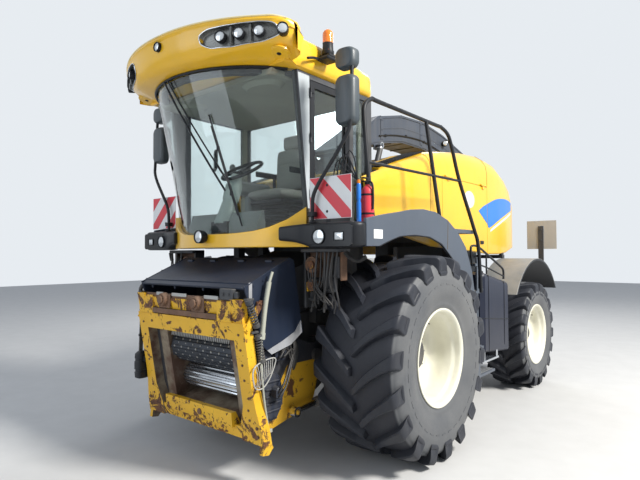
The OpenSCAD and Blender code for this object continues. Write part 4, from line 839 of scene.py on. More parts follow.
# The hood's left outline at station y, from its side up over the corner to the middle of its top
def hood_ring(y):
    half, low, top, r = hood_at(y)[1:]
    pts = [(half, low)] + [(half - r + r * cos(a * pi / 8), top - r + r * sin(a * pi / 8)) for a in range(5)]
    return pts + [(0, top)]


# How far out the hood's left side is at (y, z)
def hood_x(y, z):
    pts = hood_ring(y)
    for (x0, z0), (x1, z1) in zip(pts, pts[1:]):
        if z0 <= z <= z1 and z1 > z0:
            return x0 + (x1 - x0) * (z - z0) / (z1 - z0)
    return pts[0][0]


# A seam round the hood at station y, from height z_low up and over its top as far in as x_end
def seam_over(g, y, z_low, x_end, r=.0035):
    pts = hood_ring(y)
    line = [Vector((hood_x(y, z_low), y, z_low))] + [Vector((x, y, z)) for x, z in pts if z > z_low
        and x > x_end]
    line.append(Vector((x_end, y, pts[-1][1])))
    g.tube(line, r, n=6, smooth=1)


# A point just off the hood's left side
def off_hood(y, z):
    return hood_x(y, z) + .0022, y, z


# A strip laid on the hood's left side between an upper and a lower line of (y, z) points
def on_hood(g, upper, lower, steps=28):
    up, lo = spline([(0, *p) for p in upper], 8), spline([(0, *p) for p in lower], 8)

    def along(line, t):
        k = t * (len(line) - 1)
        i = min(int(k), len(line) - 2)
        return line[i].lerp(line[i + 1], k - i)
    rows = []
    for i in range(steps + 1):
        a, b = along(up, i / steps), along(lo, i / steps)
        rows.append([off_hood(p.y, p.z) for p in (a.lerp(b, k / 8) for k in range(9))])
    g.rows(rows)


def make_hood():
    g = Geo()
    seam_over(g, .875, 2.02, .6)
    seam_over(g, 2.456, 2.712, .45)
    g.mirrored()
    piece("hood_seams", g, "seam", "chassis")
    # mesh strip along the top's front edge
    g = Geo()
    for k in range(26):
        y = .02 + k * .034
        ring = hood_ring(y)
        x0, z0 = ring[5]
        g.block((x0 - .16, y, z0 - .004), (ring[4][0] + .012, y + .02, z0 + .012), .003)
    g.mirrored()
    piece("hood_front_mesh", g, "black", "chassis")
    # plain blue shape with a pale sweep below it, on both sides
    # the side panels carry its front part and a round plate
    g = Geo()
    on_hood(g, [(2.464, 2.48), (2.8, 2.565), (3.12, 2.6), (3.4, 2.6), (3.6, 2.575)],
        [(2.464, 2.203), (2.54, 2.165), (2.95, 2.295), (3.4, 2.415), (3.6, 2.462)])
    g.slot = 1
    on_hood(g, [(2.57, 2.142), (2.95, 2.262), (3.56, 2.43)], [(2.56, 2.108), (2.95, 2.228), (3.56, 2.4)])
    g.mirrored()
    piece("hood_shape_blue", g, "blue pale", "chassis", thick=.0016)
    for side, body in ((1, "side_panel_left"), (-1, "side_panel_right")):
        g = Geo()
        on_hood(g, [(2.17, 2.37), (2.31, 2.43), (2.451, 2.475)], [(2.17, 2.365), (2.31, 2.288),
            (2.451, 2.212)], 10)
        g.slot = 1
        for q0, q1 in ((.001, .5), (.5, 1)):
            g.rows([[off_hood(1.885 + .15 * q * cos(a * pi / 24), 2.49 + .105 * q * sin(a * pi / 24))
                for q in (q0, q1)] for a in range(49)])
        if side < 0:
            g.flip(0)
            g.faces = [tuple(f[::-1]) for f in g.faces]
        piece(body + "_shapes", g, "blue pale_warm", body, thick=.0016)


# A lamp: its centre, diameter, turn outwards, and whether its face is oblong
def add_lamp(g, at, d, turn, oblong=False):
    a = radians(turn)
    m = Matrix.Rotation(a, 3, "Z")
    at = Vector(at)

    def ring(y, r):
        pts = []
        for k in range(32):
            b = 2 * pi * (k + .5) / 32
            c, s = cos(b), sin(b)
            if oblong:
                c, s = signed_power(c, .22), signed_power(s, .22) * .72
            pts.append(at + m @ Vector((r * c, y, r * s)))
        return pts
    r = d / 2
    g.slot = 0
    g.loft([ring(.066, r * .8), ring(.045, r * .98), ring(0, r * .985), ring(-.008, r * .97),
        ring(-.01, r * .92), ring(-.007, r * .86), ring(.004, r * .84), ring(.004, r * .2)])
    g.slot = 1
    g.loft([ring(.0035, r * .84), ring(-.002, r * .82), ring(-.006, r * .6), ring(-.009, r * .3),
        ring(-.01, r * .02)])


def make_lamps():
    g = Geo()
    for s in (1, -1):
        add_lamp(g, (s * 1.09, -1.076, 1.958), .13, s * 2)
        add_lamp(g, (s * 1.29, -1.07, 1.958), .1, s * 2, True)
        for x, up, back, d, turn in ((.64, .148, .018, .09, 22), (.78, .158, .018, .09, 27),
                (.92, .164, .018, .09, 32), (1.072, .172, -.008, .09, 42)):
            add_lamp(g, (s * x, visor_front(x) + back, VISOR_Z + up), d, s * turn)
    add_lamp(g, (0, -1.828, 3.525), .08, 0)
    add_lamp(g, (-.06, -1.3645, 1.978), .12, 0)
    piece("lamp_units", g, "black lens", "chassis", ["lamps"])


# How far the visor's rounded ends stand back
def visor_end(x):
    d = max(0, abs(x) - 1.01)
    return .09 - sqrt(.0081 - d * d)


# The visor's front edge at x
def visor_front(x):
    return -1.83 + .38 * (abs(x) / VISOR_X) ** 2.2 + visor_end(x)


# A board with red and white stripes at 45 degrees on its front
def add_board(g, x0, x1, z0, z1, y, front, phase=0, step=.141):
    g.slot = 0
    g.block((x0, y, z0), (x1, y + .004, z1), .001)
    face = y - .0009 if front < 0 else y + .0049
    g.slot = 1
    for k in range(-12, 24):
        # the stripe between the lines x + z = c0 and x + z = c1, kept inside the board
        c0 = x0 + z0 + phase + 2 * k * step
        c1 = c0 + step
        pts = clip_stripe(x0 + .004, x1 - .004, z0 + .004, z1 - .004, c0, c1)
        if len(pts) > 2:
            g.loft([[(x, face + e, z) for x, z in pts] for e in (-.0005, .0005)])


# The part of a rectangle between two lines x + z = c
def clip_stripe(x0, x1, z0, z1, c0, c1):
    pts = [(x0, z0), (x1, z0), (x1, z1), (x0, z1)]
    for c, sign in ((c0, 1), (c1, -1)):
        out = []
        for i, p in enumerate(pts):
            q = pts[(i + 1) % len(pts)]
            dp, dq = sign * (p[0] + p[1] - c), sign * (q[0] + q[1] - c)
            if dp >= 0:
                out.append(p)
            if dp * dq < 0:
                t = dp / (dp - dq)
                out.append((p[0] + (q[0] - p[0]) * t, p[1] + (q[1] - p[1]) * t))
        pts = out
        if not pts:
            return []
    return pts


def make_boards():
    g = Geo()
    add_board(g, .938, 1.36, 2.1, 2.44, -.999, -1, .05)
    g.slot = 2
    g.block((1.1, -.994, 2.07), (1.14, -.978, 2.4), .003)
    g.mirrored()
    for s in (1, -1):
        for z in (2.16, 2.37):
            g.bolt((s * 1.12, -.9999, z), (0, -1, 0), .008, .006)
    piece("front_boards", g, "white red black", "chassis", ["warning_boards"])
    g = Geo()
    add_board(g, 1.06, 1.483, 1.89, 2.313, BOARD_Y, 1, 0)
    g.slot = 2
    g.block((1.056, BOARD_Y - .0015, 1.886), (1.487, BOARD_Y, 2.317), .001)
    g.slot = 3
    g.block((1.245, BOARD_Y + .004, 1.72), (1.285, BOARD_Y + .024, 2.28), .003)
    g.block((1.24, 3.76, 1.6256), (1.29, BOARD_Y + .024, 1.655), .004)
    g.block((1.24, BOARD_Y + .004, 1.6256), (1.29, BOARD_Y + .024, 1.9), .004)
    for z in (1.97, 2.22):
        g.bolt((1.265, BOARD_Y + .024, z), (0, 1, 0), .008, .006)
        g.bolt((1.265, BOARD_Y - .0015, z), (0, -1, 0), .007, .004)
    g.mirrored()
    piece("rear_boards", g, "white red board_back black", "chassis", ["rear_markers"])


def make_beacons():
    g = Geo()
    for s in (1, -1):
        c = Vector((s * 1.015, -.85, 3.488))

        def ring(z, r, rib=0):
            return [c + Vector(((r + rib * (k % 2)) * i, (r + rib * (k % 2)) * j, z))
                for k, (i, j) in enumerate(unit_circle(32))]
        g.slot = 0
        g.sided(s, (.9505, -.895, 3.46), (1.07, -.805, 3.487), .006)
        g.loft([ring(0, .05), ring(.006, .0525), ring(.03, .0525), ring(.034, .047), ring(.092, .044),
            ring(.1, .046)])
        g.slot = 1
        rows = [ring(.1, .0445, rib=-.0015)]
        for k in range(9):
            a = k * pi / 18
            rows.append(ring(.175 + .0445 * sin(a), max(.001, .0445 * cos(a)), rib=-.0015 * cos(a)))
        g.loft(rows)
        for k in range(4):
            g.bolt(c + Vector((.045 * cos(.8 + k * 1.57), .045 * sin(.8 + k * 1.57), .031)), (0, 0, 1), .004,
                .004)
    piece("beacon_domes", g, "black amber", "chassis", ["beacons"])


def make_mirrors():
    g = Geo()
    for s in (1, -1):
        def box_ring(y, hw, z0, z1, r, cx=MIRROR_X):
            pts = []
            for sx, sz, a0 in ((1, 1, 0), (-1, 1, 90), (-1, -1, 180), (1, -1, 270)):
                for k in range(6):
                    a = radians(a0 + 18 * k)
                    pts.append((s * (cx + sx * (hw - r) + r * cos(a)), y,
                        (z1 - r if sz > 0 else z0 + r) + r * sin(a)))
            return pts
        g.slot = 0
        for z0, z1 in ((2.83, 3.23), (3.28, 3.442)):
            h = z1 - z0
            prof = [(-1.006, .068, .1), (-1, .078, .08), (-.986, .089, .03), (-.97, .0932, .01),
                (-.926, .0944, 0), (-.914, .0936, .004), (-.91, .0904, .02), (-.912, .0856, .03),
                (-.92, .084, .035)]
            rings = []
            for y, hw, inset in prof:
                y2 = y if h > .3 else (y if y > -1 else -1 - (-1 - y) * .66)
                rings.append(box_ring(y2, hw, z0 + inset * h * .5, z1 - inset * h * .5, min(.055, h * .32)))
            g.loft(rings)
        g.slot = 1
        for z0, z1 in ((2.845, 3.215), (3.292, 3.43)):
            h = z1 - z0
            g.loft([box_ring(y, .083, z0, z1, min(.05, h * .32)) for y in (-.919, -.9175)])
        g.slot = 2
        arm = [(1, -1.04, DECK + .0005), (1, -1.04, 2.18), (1.035, -1.04, 2.34), (1.275, -1.02, 2.66),
            (ARM_X, -.985, 2.85), (ARM_X, -.96, 3.3)]
        g.tube([(s * p[0], p[1], p[2]) for p in arm], .0155, n=16, smooth=6)
        for z in (2.92, 3.14, 3.34):
            a = (s * ARM_X, -.985 + .025 * (z - 2.85) / .45, z)
            g.cyl((a[0], a[1], z - .018), (a[0], a[1], z + .018), .023, n=20, c=.003)
            g.block((min(a[0], s * 1.3), a[1] - .012, z - .014), (max(a[0], s * 1.3), a[1] + .03, z + .014),
                .003)
        g.cyl((s, -1.04, DECK + .0003), (s, -1.04, 2.082), .034, n=24, c=.002)
        g.block((s - .03, -1.07, 2.12), (s + .03, -1.01, 2.16), .005)
    piece("mirror_units", g, "mirror_case chrome black", "chassis", ["mirrors"])


def make_rails():
    g = Geo()
    a = [(1.398, -.77, DECK + .0003), (1.398, -.77, 2.14), (1.375, -.768, 2.3), (1.32, -.762, 2.88),
        (1.308, -.735, 3.04), (1.3, -.62, 3.115)]
    b = [(1.3, -.5, 3.115), (1.3, .52, 3.115), (1.3, .64, 3.113), (1.306, .78, 3.06), (1.318, .85, 2.92),
        (1.35, .945, 2.6), (1.447, 1.08, 2.09), (1.474, 1.125, 1.9), (1.474, 1.19, 1.4)]
    g.tube(a + b, .019, n=16, smooth=5)
    g.tube([(1.398, .425, DECK + .0003), (1.398, .425, 2.12), (1.385, .41, 2.2), (1.3, .32, 3.115)], .019,
        n=16, smooth=4)
    g.tube([(1.352, -.765, 2.56), (1.351, .09, 2.575), (1.35, .945, 2.59)], .013, n=14, smooth=2)
    for p in ((1.398, -.77), (1.398, .425)):
        g.block((p[0] - .045, p[1] - .045, DECK + .0001), (p[0] + .026, p[1] + .045, 2.078), .002)
        for q in (-.033, .033):
            g.bolt((p[0] - .03, p[1] + q, 2.078), (0, 0, 1), .006, .006)
    piece("rail_tubes", g, "black", "chassis", ["handrails"])


# A crowned pad: superellipse sections along y or z, pulled in at its seams
def cushion(name, lo, hi, seams=(), lean=0):
    g = Geo()
    cx, cy, cz = [(a + b) / 2 for a, b in zip(lo, hi)]
    hx, hy, hz = [(b - a) / 2 for a, b in zip(lo, hi)]
    n, rings = 40, []
    flat = hz < hy
    long_h = hy if flat else hz
    for k in range(25):
        t = -1 + 2 * k / 24
        e = max(.25, (1 - abs(t) ** 5) ** .5)
        groove = 1
        for s in seams:
            groove -= .1 * exp(-((t - s) / .035) ** 2)
        ring = []
        for i in range(n):
            b = 2 * pi * i / n
            c, s = cos(b), sin(b)
            x = signed_power(c, .42) * hx * (.93 + .07 * e - .02 * (1 - t * t))
            w = signed_power(s, .55) * (hz if flat else hy) * e * groove
            w *= 1 - .18 * (abs(x) / hx) ** 2 * (s > 0)
            if flat:
                ring.append((cx + x, cy + t * long_h, cz + w))
            else:
                ring.append((cx + x, cy + w + lean * t * long_h, cz + t * long_h))
        rings.append(ring)
    g.loft(rings)
    ob = piece(name, g, "seat_pale", "chassis", ["seat"], subdivide=1)


def make_seat():
    cushion("seat_cushion", (-.245, -.63, FLOOR + .43), (.245, -.17, FLOOR + .545), (-.35, .35))
    cushion("seat_back", (-.225, -.235, FLOOR + .56), (.225, -.125, FLOOR + 1), (-.3, .25), lean=.05)
    cushion("seat_head", (-.14, -.205, FLOOR + 1), (.14, -.125, FLOOR + 1.14))
    g = Geo()
    g.block((.235, -.24, FLOOR + .42), (.255, -.2, FLOOR + .72), .006)
    g.block((.232, -.5, FLOOR + .69), (.25, -.18, FLOOR + .75), .012)
    g.mirrored()
    g.block((-.21, -.48, FLOOR + .045), (.21, -.14, FLOOR + .085), .01)
    for k in range(7):
        z = FLOOR + .09 + k * .042
        q = .19 - .012 * (k % 2)
        g.block((-q, -.46 + .01 * (k % 2), z), (q, -.16 - .01 * (k % 2), z + .04), .012)
    g.block((-.23, -.6, FLOOR + .385), (.23, -.17, FLOOR + .43), .015)
    piece("seat_base", g, "black", "chassis", ["seat"])


def make_plates():
    g = Geo()
    g.block((FENDER_X + .0006, -.837, 1.94), (1.4565, -.712, 2.012), .0004)
    g.mirrored()
    piece("fender_blank_plates", g, "white", "chassis")
    g = Geo()
    for s in (1, -1):
        g.tube([(s * (FENDER_X + .0007), .452, 2.14), (s * (FENDER_X + .0007), .44, 1.95),
            (s * (FENDER_X + .0007), .432, 1.86)], .0028, n=6, smooth=2)
    piece("fender_seams", g, "seam", "chassis")
    # rubber lip along each wheel arch
    g = Geo()
    arc = [(.99 * cos(radians(a)), .905 + .99 * sin(radians(a))) for a in range(-20, 45, 8)]
    arch = [(.93, .5)] + arc + [(.54, 1.775), (.32, 1.911), (.081, 1.972), (-.194, 1.983), (-.446, 1.965),
        (-.633, 1.918), (-.755, 1.882)]
    g.tube([(1.444, y, z) for y, z in arch], .01, n=10, smooth=3)
    g.mirrored()
    piece("fender_lips", g, "black", "chassis")
    # amber marker near the fender's foot
    g = Geo()
    g.block((FENDER_X, 1.085, .8), (1.463, 1.15, .865), .004)
    g.mirrored()
    piece("fender_markers", g, "amber", "chassis")


# Distance of the header frame's front plane at height z
def frame_front(z):
    return -1.38 - .165 * (z - .33) / .96


# A profile of (radius, height) turned about an upright axis
def turned(g, centre, profile, n=32):
    c = Vector(centre)
    g.loft([[c + Vector((max(r, .0005) * i, max(r, .0005) * j, z)) for i, j in unit_circle(n)]
        for r, z in profile])


# A wire wound round the line from a to b
def coil(g, a, b, r, wire, turns):
    a, b = Vector(a), Vector(b)
    d = (b - a).normalized()
    u = d.orthogonal().normalized()
    v = d.cross(u)
    steps = turns * 12
    pts = [a + (b - a) * (i / steps) + (u * cos(i * pi / 6) + v * sin(i * pi / 6)) * r
        for i in range(steps + 1)]
    g.tube(pts, wire, n=8, smooth=1)


def make_header():
    # plates, bosses and tabs of the top cross bar
    g = Geo()
    for s in (1, -1):
        lo, hi = (.43, .608) if s > 0 else (-.7, -.478)
        y = frame_front(1.37)
        g.block((lo, y + .002, 1.288), (hi, y + .026, 1.455), .006)
    g.slot = 1
    y = frame_front(1.45)
    g.block((-.61, y + .035, 1.436), (.61, y + .062, 1.475), .004)
    g.block((-.475, y + .012, 1.3), (.43, y + .02, 1.345), .003)
    for x, z in ((-.288, 1.425), (.187, 1.418)):
        c = frame_front(z)
        g.cyl((x, c + .03, z), (x, c - .028, z), .062, .056, n=32, c=.006)
        g.cyl((x, c - .028, z), (x, c - .046, z), .036, n=24, c=.004)
        g.bolt_ring((x, c - .027, z), (0, -1, 0), .047, 6, .006, .006, .4)
        g.block((x - .085, c + .008, z - .075), (x + .085, c + .022, z + .045), .006)
    g.slot = 2
    for x0, x1 in ((-.195, .017), (.258, .44), (-.43, -.33)):
        g.block((x0, y + .024, 1.458), (x1, y + .034, 1.487), .003)
    # a dark latch block above the left ear
    g.slot = 3
    g.block((.47, y + .01, 1.462), (.63, y + .075, 1.552), .008)
    g.block((.615, y + .025, 1.475), (.665, y + .065, 1.53), .006)
    g.bolt((.52, y + .01, 1.507), (0, -1, 0), .014, .01)
    g.bolt((.59, y + .01, 1.507), (0, -1, 0), .01, .01)
    piece("header_top_bar", g, "frame_yellow rust pale_grey dark", "feeder")
    # bolts and plugs of the frame
    g = Geo()
    for s in (1, -1):
        for z in (.52, .6, .84, .96, 1.08, 1.2):
            g.bolt((s * .665, frame_front(z), z), (0, -1, .17), .009, .008)
        for z in (.4, .47):
            g.bolt((s * .74, frame_front(z), z), (0, -1, .17), .012, .01)
    for x in (-.52, .52):
        g.bolt((x, frame_front(1.22), 1.22), (0, -1, .17), .01, .009)
    g.cyl((.375, frame_front(1.245) - .004, 1.245), (.375, frame_front(1.245) + .01, 1.244), .021, n=24,
        c=.002)
    g.cyl((.04, frame_front(.475) - .025, .475), (.04, frame_front(.475) + .01, .474), .026, n=24, c=.002)
    piece("header_bolts", g, "rust", "feeder")
    # comb above the upper roll
    g = Geo()
    g.block((-.42, -1.405, 1.128), (.42, -1.38, 1.152), .003)
    for k in range(34):
        x = -.4 + k * .0242
        g.loft([[(x - w, -1.398 - e, z), (x + w, -1.398 - e, z), (x + w, -1.386 - e, z),
            (x - w, -1.386 - e, z)] for z, w, e in ((1.13, .007, 0), (1.095, .006, .004),
            (1.082, .002, .007))])
    piece("feed_comb", g, "steel", "feeder")
    # springs at both ends of the rolls
    g = Geo()
    for s in (1, -1):
        coil(g, (s * SPRING_X, -1.505, 1.455), (s * SPRING_X, -1.432, 1.272), .024, .0062, 9)
        coil(g, (s * SPRING_X, -1.408, 1.18), (s * SPRING_X, -1.372, .995), .024, .0062, 9)
        for a, b in (((-1.512, 1.472), (-1.5, 1.443)), ((-1.437, 1.284), (-1.424, 1.254)),
                ((-1.411, 1.195), (-1.402, 1.168)), ((-1.376, 1.008), (-1.366, .977))):
            g.cyl((s * SPRING_X, *a), (s * SPRING_X, *b), .031, n=20, c=.003)
        g.sided(s, (.716, -1.47, 1.205), (.757, -1.4, 1.225), .004)
        g.sided(s, (.716, -1.378, .955), (.757, -1.3, .978), .004)
        g.sided(s, (.716, -1.525, 1.462), (.757, -1.45, 1.48), .004)
    piece("roll_springs", g, "dark", "feeder")
    # latch lever with its rod, on the left
    g = Geo()
    x = .768
    g.tube([(x, -1.263, 1.678), (x, -1.29, 1.615), (x, -1.318, 1.552)], .011, n=14, smooth=3)
    g.tube([(x, -1.3, 1.6), (x, -1.345, 1.4), (x, -1.375, 1.185)], .0195, n=18, smooth=3)
    g.cyl((x, -1.371, 1.21), (x, -1.379, 1.155), .0235, n=20, c=.003)
    g.tube([(x, -1.379, 1.16), (x, -1.386, .98), (x - .002, -1.355, .7), (x - .006, -1.3, .43)], .0075, n=12,
        smooth=5)
    g.block((.733, -1.43, 1.165), (x + .004, -1.375, 1.183), .003)
    g.cyl((.733, -1.405, 1.174), (x + .02, -1.405, 1.174), .011, n=16, c=.002)
    g.block((.76, -1.33, .415), (.775, -1.27, .445), .003)
    piece("latch_lever", g, "lever", "feeder")
    # yellow brace between the frame and the cover
    g = Geo()
    g.prism(0, [(-1.545, 1.245), (-1.505, 1.215), (-1.355, 1.405), (-1.345, 1.455), (-1.375, 1.46),
        (-1.41, 1.425)], .736, .748)
    for y, z in ((-1.515, 1.245), (-1.375, 1.43)):
        g.bolt((.748, y, z), (1, 0, 0), .011, .009)
    g.block((COVER_X + .0003, -1.4, 1.4), (.737, -1.35, 1.45), .003)
    g.mirrored()
    piece("frame_braces", g, "frame_yellow", "feeder")
    # wire guard
    g = Geo()
    x = .765
    hoop = [(x, -1.465, .935), (x, -1.36, .985), (x, -1.235, .99), (x, -1.24, .93), (x, -1.3, .83),
        (x, -1.375, .775), (x, -1.45, .8)]
    g.tube(hoop, .0055, n=10, smooth=5, closed=True)
    for k in range(9):
        t = (k + .5) / 9
        g.tube([(x, -1.455 + .21 * t, .945 + .045 * t), (x + .012, -1.44 + .165 * t, .88 + .01 * t),
            (x, -1.44 + .15 * t, .795 + .09 * t * t)], .0028, n=8, smooth=3)
    for y, z in ((-1.4, .79), (-1.42, .955)):
        g.cyl((.7, y, z), (x, y, z), .006, n=10, c=.001)
    piece("wire_guard", g, "pale_grey", "feeder")


def make_rolls():
    # upper roll: toothed slats bolted round a drum
    cy, cz = UPPER_ROLL
    g = Geo()

    def ring(x, r, n=48):
        return [(x, cy + r * i, cz + r * j) for i, j in unit_circle(n)]
    g.loft([ring(-.43, .05), ring(-.43, .128), ring(-.426, .132), ring(.426, .132), ring(.43, .128),
        ring(.43, .05)])
    g.loft([ring(-.51, .0298), ring(.51, .0298)])
    for i in range(12):
        m = Matrix.Rotation(i * pi / 6, 3, "X")
        n = len(g.verts)
        g.block((-.424, -.017, .126), (.424, .013, .139), .003)
        for k in range(40):
            x = -.415 + k * .0213
            g.loft([[(x - w, y, z) for w, y, z in ((.0095, -.017, .134), (.004, -.019, .1485))]
                + [(x + w, y, z) for w, y, z in ((.004, -.019, .1485), (.0095, -.017, .134))],
                [(x - w, y, z) for w, y, z in ((.0095, -.007, .134), (.003, -.013, .1475))]
                + [(x + w, y, z) for w, y, z in ((.003, -.013, .1475), (.0095, -.007, .134))]])
        g.verts[n:] = [tuple(m @ Vector(v) + Vector((0, cy, cz))) for v in g.verts[n:]]
    g.slot = 1
    for i in range(12):
        a = i * pi / 6
        way = Vector((0, -sin(a), cos(a)))
        side = Vector((0, cos(a), sin(a)))
        for k in range(8):
            g.bolt(Vector((-.37 + k * .1057, cy, cz)) + way * .139 + side * .003, way, .0075, .0055)
            g.bolt(Vector((-.32 + k * .1057, cy, cz)) + way * .1285 + side * .036, way, .0055, .004)
    piece("toothed_roll", g, "roll_dark steel", "upper_roll", ["upper_feed_roll"])
    # lower roll: bright ribs along a drum
    cy, cz = LOWER_ROLL
    g = Geo()
    prof, n = [], 16
    for k in range(n):
        a = 2 * pi * k / n
        for r, e in ((.0975, -.19), (.0985, -.115), (.1065, -.075), (.1092, -.05), (.1092, .05),
                (.1065, .075), (.0985, .115)):
            prof.append((r, a + e))
    g.loft([[(x, cy + r * q * cos(a), cz + r * q * sin(a)) for r, a in prof]
        for x, q in ((-.43, .5), (-.43, .975), (-.426, 1), (.426, 1), (.43, .975), (.43, .5))])
    g.loft([ring(x, .0298, 32) for x in (-.51, .51)])
    for x in (-.429, .429):
        g.bolt_ring((x, cy, cz), (copysign(1, x), 0, 0), .05, 6, .006, .004)
    piece("ribbed_roll", g, "bright", "lower_roll", ["lower_feed_roll"])


def make_feeder_sides():
    # gear case and hydraulic motor on each side of the feeder, in front of its lower arms
    g = Geo()
    prof = [(-1.245, .47), (-1.19, .44), (-1.1, .45), (-1.03, .56), (-1.02, .68), (-1.06, .8), (-1.13, .86),
        (-1.22, .87), (-1.29, .8), (-1.3, .62)]
    c = (-1.165, .66)

    def shrink(q):
        return [(c[0] + (y - c[0]) * q, c[1] + (z - c[1]) * q) for y, z in prof]
    g.loft([[(x, *p) for p in shrink(q)] for x, q in ((.606, 1), (.64, 1), (.648, .97), (.652, .9),
        (.668, .86), (.672, .8))])
    for k, (y, z) in enumerate(shrink(.935)):
        g.bolt((.6495, y, z), (1, 0, 0), .007, .007)
    for k in range(5):
        z = .53 + k * .06
        g.block((.67, -1.25, z), (.684, -1.08, z + .016), .004)
    g.cyl((.672, -1.15, .69), (.745, -1.15, .69), .052, .048, n=32, c=.008)
    g.block((.7, -1.2, .655), (.752, -1.165, .725), .006)
    g.cyl((.606, -1.255, .985), (.69, -1.255, .985), .07, .062, n=36, c=.008)
    g.bolt_ring((.689, *UPPER_ROLL), (1, 0, 0), .045, 8, .006, .006)
    # valve block with fittings
    g.block((.606, -1.13, .93), (.672, -1.02, 1.03), .006)
    for k in range(4):
        g.cyl((.672, -1.115 + k * .027, .955 + .045 * (k % 2)), (.69, -1.115 + k * .027,
            .955 + .045 * (k % 2)), .011, n=6, c=.001)
    g.mirrored()
    piece("feeder_gear_cases", g, "dark_blue", "feeder")
    # hoses held along the feeder's left side
    g = Geo()
    for k, (y0, z0, x0) in enumerate(((-1.18, .7, .752), (-1.175, .665, .752), (-1.115, .955, .69),
            (-1.088, 1, .69), (-1.061, .955, .69))):
        e = .012 * k
        g.tube([(x0 - .01, y0, z0), (x0 + .018, y0 + .005, z0 + .02),
            (x0 + .012 - e * .3, y0 + .07 + e, z0 + .1 - e), (.7 - e * .5, -.97 + e, .93 - e * 2),
            (.66, -.9 + e, 1 - e), (.62, -.86 + e, 1.08 - e)], .0085, n=10, smooth=5)
    g.mirrored()
    piece("feeder_hoses", g, "hose", "feeder")
    # cover: edge strips, hinge bolts, clips and a welt along its fold
    g = Geo()
    g.prism(0, [(-1.275, 1.05), (-1.228, 1.012), (-1, 1.062), (-.862, 1.148), (-.876, 1.255), (-.95, 1.165),
        (-1.1, 1.105)], COVER_X + .0003, .7235)
    g.block((COVER_X + .0003, -1.475, 1.478), (.7235, -1.44, 1.6), .001)
    g.mirrored()
    piece("cover_edge_strips", g, "scuff", "feeder")
    g = Geo()
    for s in (1, -1):
        g.tube([(s * (COVER_X + .0003), -1.49, 1.485), (s * (COVER_X + .0003), -1.513, 1.558),
            (s * (COVER_X + .0003), -1.47, 1.588), (s * (COVER_X + .0003), -1.012, 1.787)], .006, n=8,
            smooth=2)
        for k in range(5):
            y = -1.42 + k * .1
            g.bolt((s * .72, y, 1.55 + (y + 1.47) * .42), (s, 0, 0), .011, .005)
    g.tube([(-.72, -1.514, 1.556), (.72, -1.514, 1.556)], .007, n=8, smooth=1)
    g.tube([(-.72, -1.47, 1.59), (0, -1.47, 1.592), (.72, -1.47, 1.59)], .005, n=8, smooth=2)
    for x in (-.55, -.2, .2, .55):
        g.bolt((x, -1.508, 1.53), (0, -1, -.3), .01, .006)
        g.block((x - .04, -1.1, 1.7485), (x + .04, -1.06, 1.7725), .004)
    piece("cover_welts", g, "cover", "feeder")


def make_hoses():
    route = [(-.742, -1.4, 1.24), (-.746, -1.405, 1.38), (-.78, -1.43, 1.43), (-.812, -1.45, 1.36),
        (-.815, -1.46, 1.2), (-.815, -1.47, .89)]
    g = Geo()
    for e in (-.0105, .0105):
        g.tube([(x, y + e, z) for x, y, z in route], .0095, n=12, smooth=6)
    g.slot = 1
    for x, y, z in ((-.744, -1.402, 1.3), (-.8135, -1.455, 1.29), (-.815, -1.464, 1.05)):
        g.block((x - .015, y - .024, z - .012), (x + .015, y + .024, z + .012), .004)
    # coupler: body with its grip, ring and lever
    c = (-.812, -1.46)
    rings = []
    for z, a, b in ((.64, .03, .04), (.648, .046, .056), (.7, .05, .06), (.705, .044, .054),
            (.722, .044, .054), (.727, .052, .06), (.8, .052, .06), (.806, .046, .054), (.826, .046, .054),
            (.832, .051, .059), (.872, .048, .055), (.89, .034, .04), (.9, .022, .028)):
        ring = []
        for k in range(36):
            t = 2 * pi * k / 36
            ring.append((c[0] + a * signed_power(cos(t), .5) * (1 - .03 * (k % 2)),
                c[1] + b * signed_power(sin(t), .5) * (1 - .03 * (k % 2)), z))
        rings.append(ring)
    g.loft(rings)
    g.tube([(-.863, -1.48, .7), (-.873, -1.48, .76), (-.872, -1.47, .84), (-.86, -1.46, .865)], .007, n=10,
        smooth=4)
    g.block((-.795, -1.475, .805), (-.7355, -1.445, .855), .004)
    piece("hose_coupler", g, "hose black", "feeder", ["hose_bundle"])
    # thick hose clipped along the cover's right edge
    g = Geo()
    g.tube([(-.742, -1, 1.765), (-.742, -1.15, 1.7), (-.742, -1.35, 1.615), (-.745, -1.49, 1.535),
        (-.765, -1.505, 1.47), (-.785, -1.48, 1.41), (-.79, -1.44, 1.36), (-.775, -1.41, 1.3),
        (-.748, -1.4, 1.26)], .0185, n=14, smooth=5)
    g.slot = 1
    for y, z in ((-1.08, 1.731), (-1.27, 1.648), (-1.43, 1.573)):
        g.block((-.768, y - .014, z - .024), (-.7195, y + .014, z + .024), .005)
    piece("cover_hose", g, "hose dark", "feeder")


# Sagging hoses from starts to ends, each a little different
def hose_bunch(g, starts, ends, sag, r, seed):
    for i, (a, b) in enumerate(zip(starts, ends)):
        a, b = Vector(a), Vector(b)
        k = sin(i * 12.9898 + seed) * .5
        mid1 = a.lerp(b, .33) + Vector((.05 * k, -.03 + .04 * sin(i * 3.1), -sag * (.7 + .3 * k)))
        mid2 = a.lerp(b, .7) + Vector((-.04 * k, .03 * cos(i * 2.3), -sag * (.5 - .3 * k)))
        g.tube([a, mid1, mid2, b], r * (1 + .25 * sin(i * 5)), n=9, smooth=6)


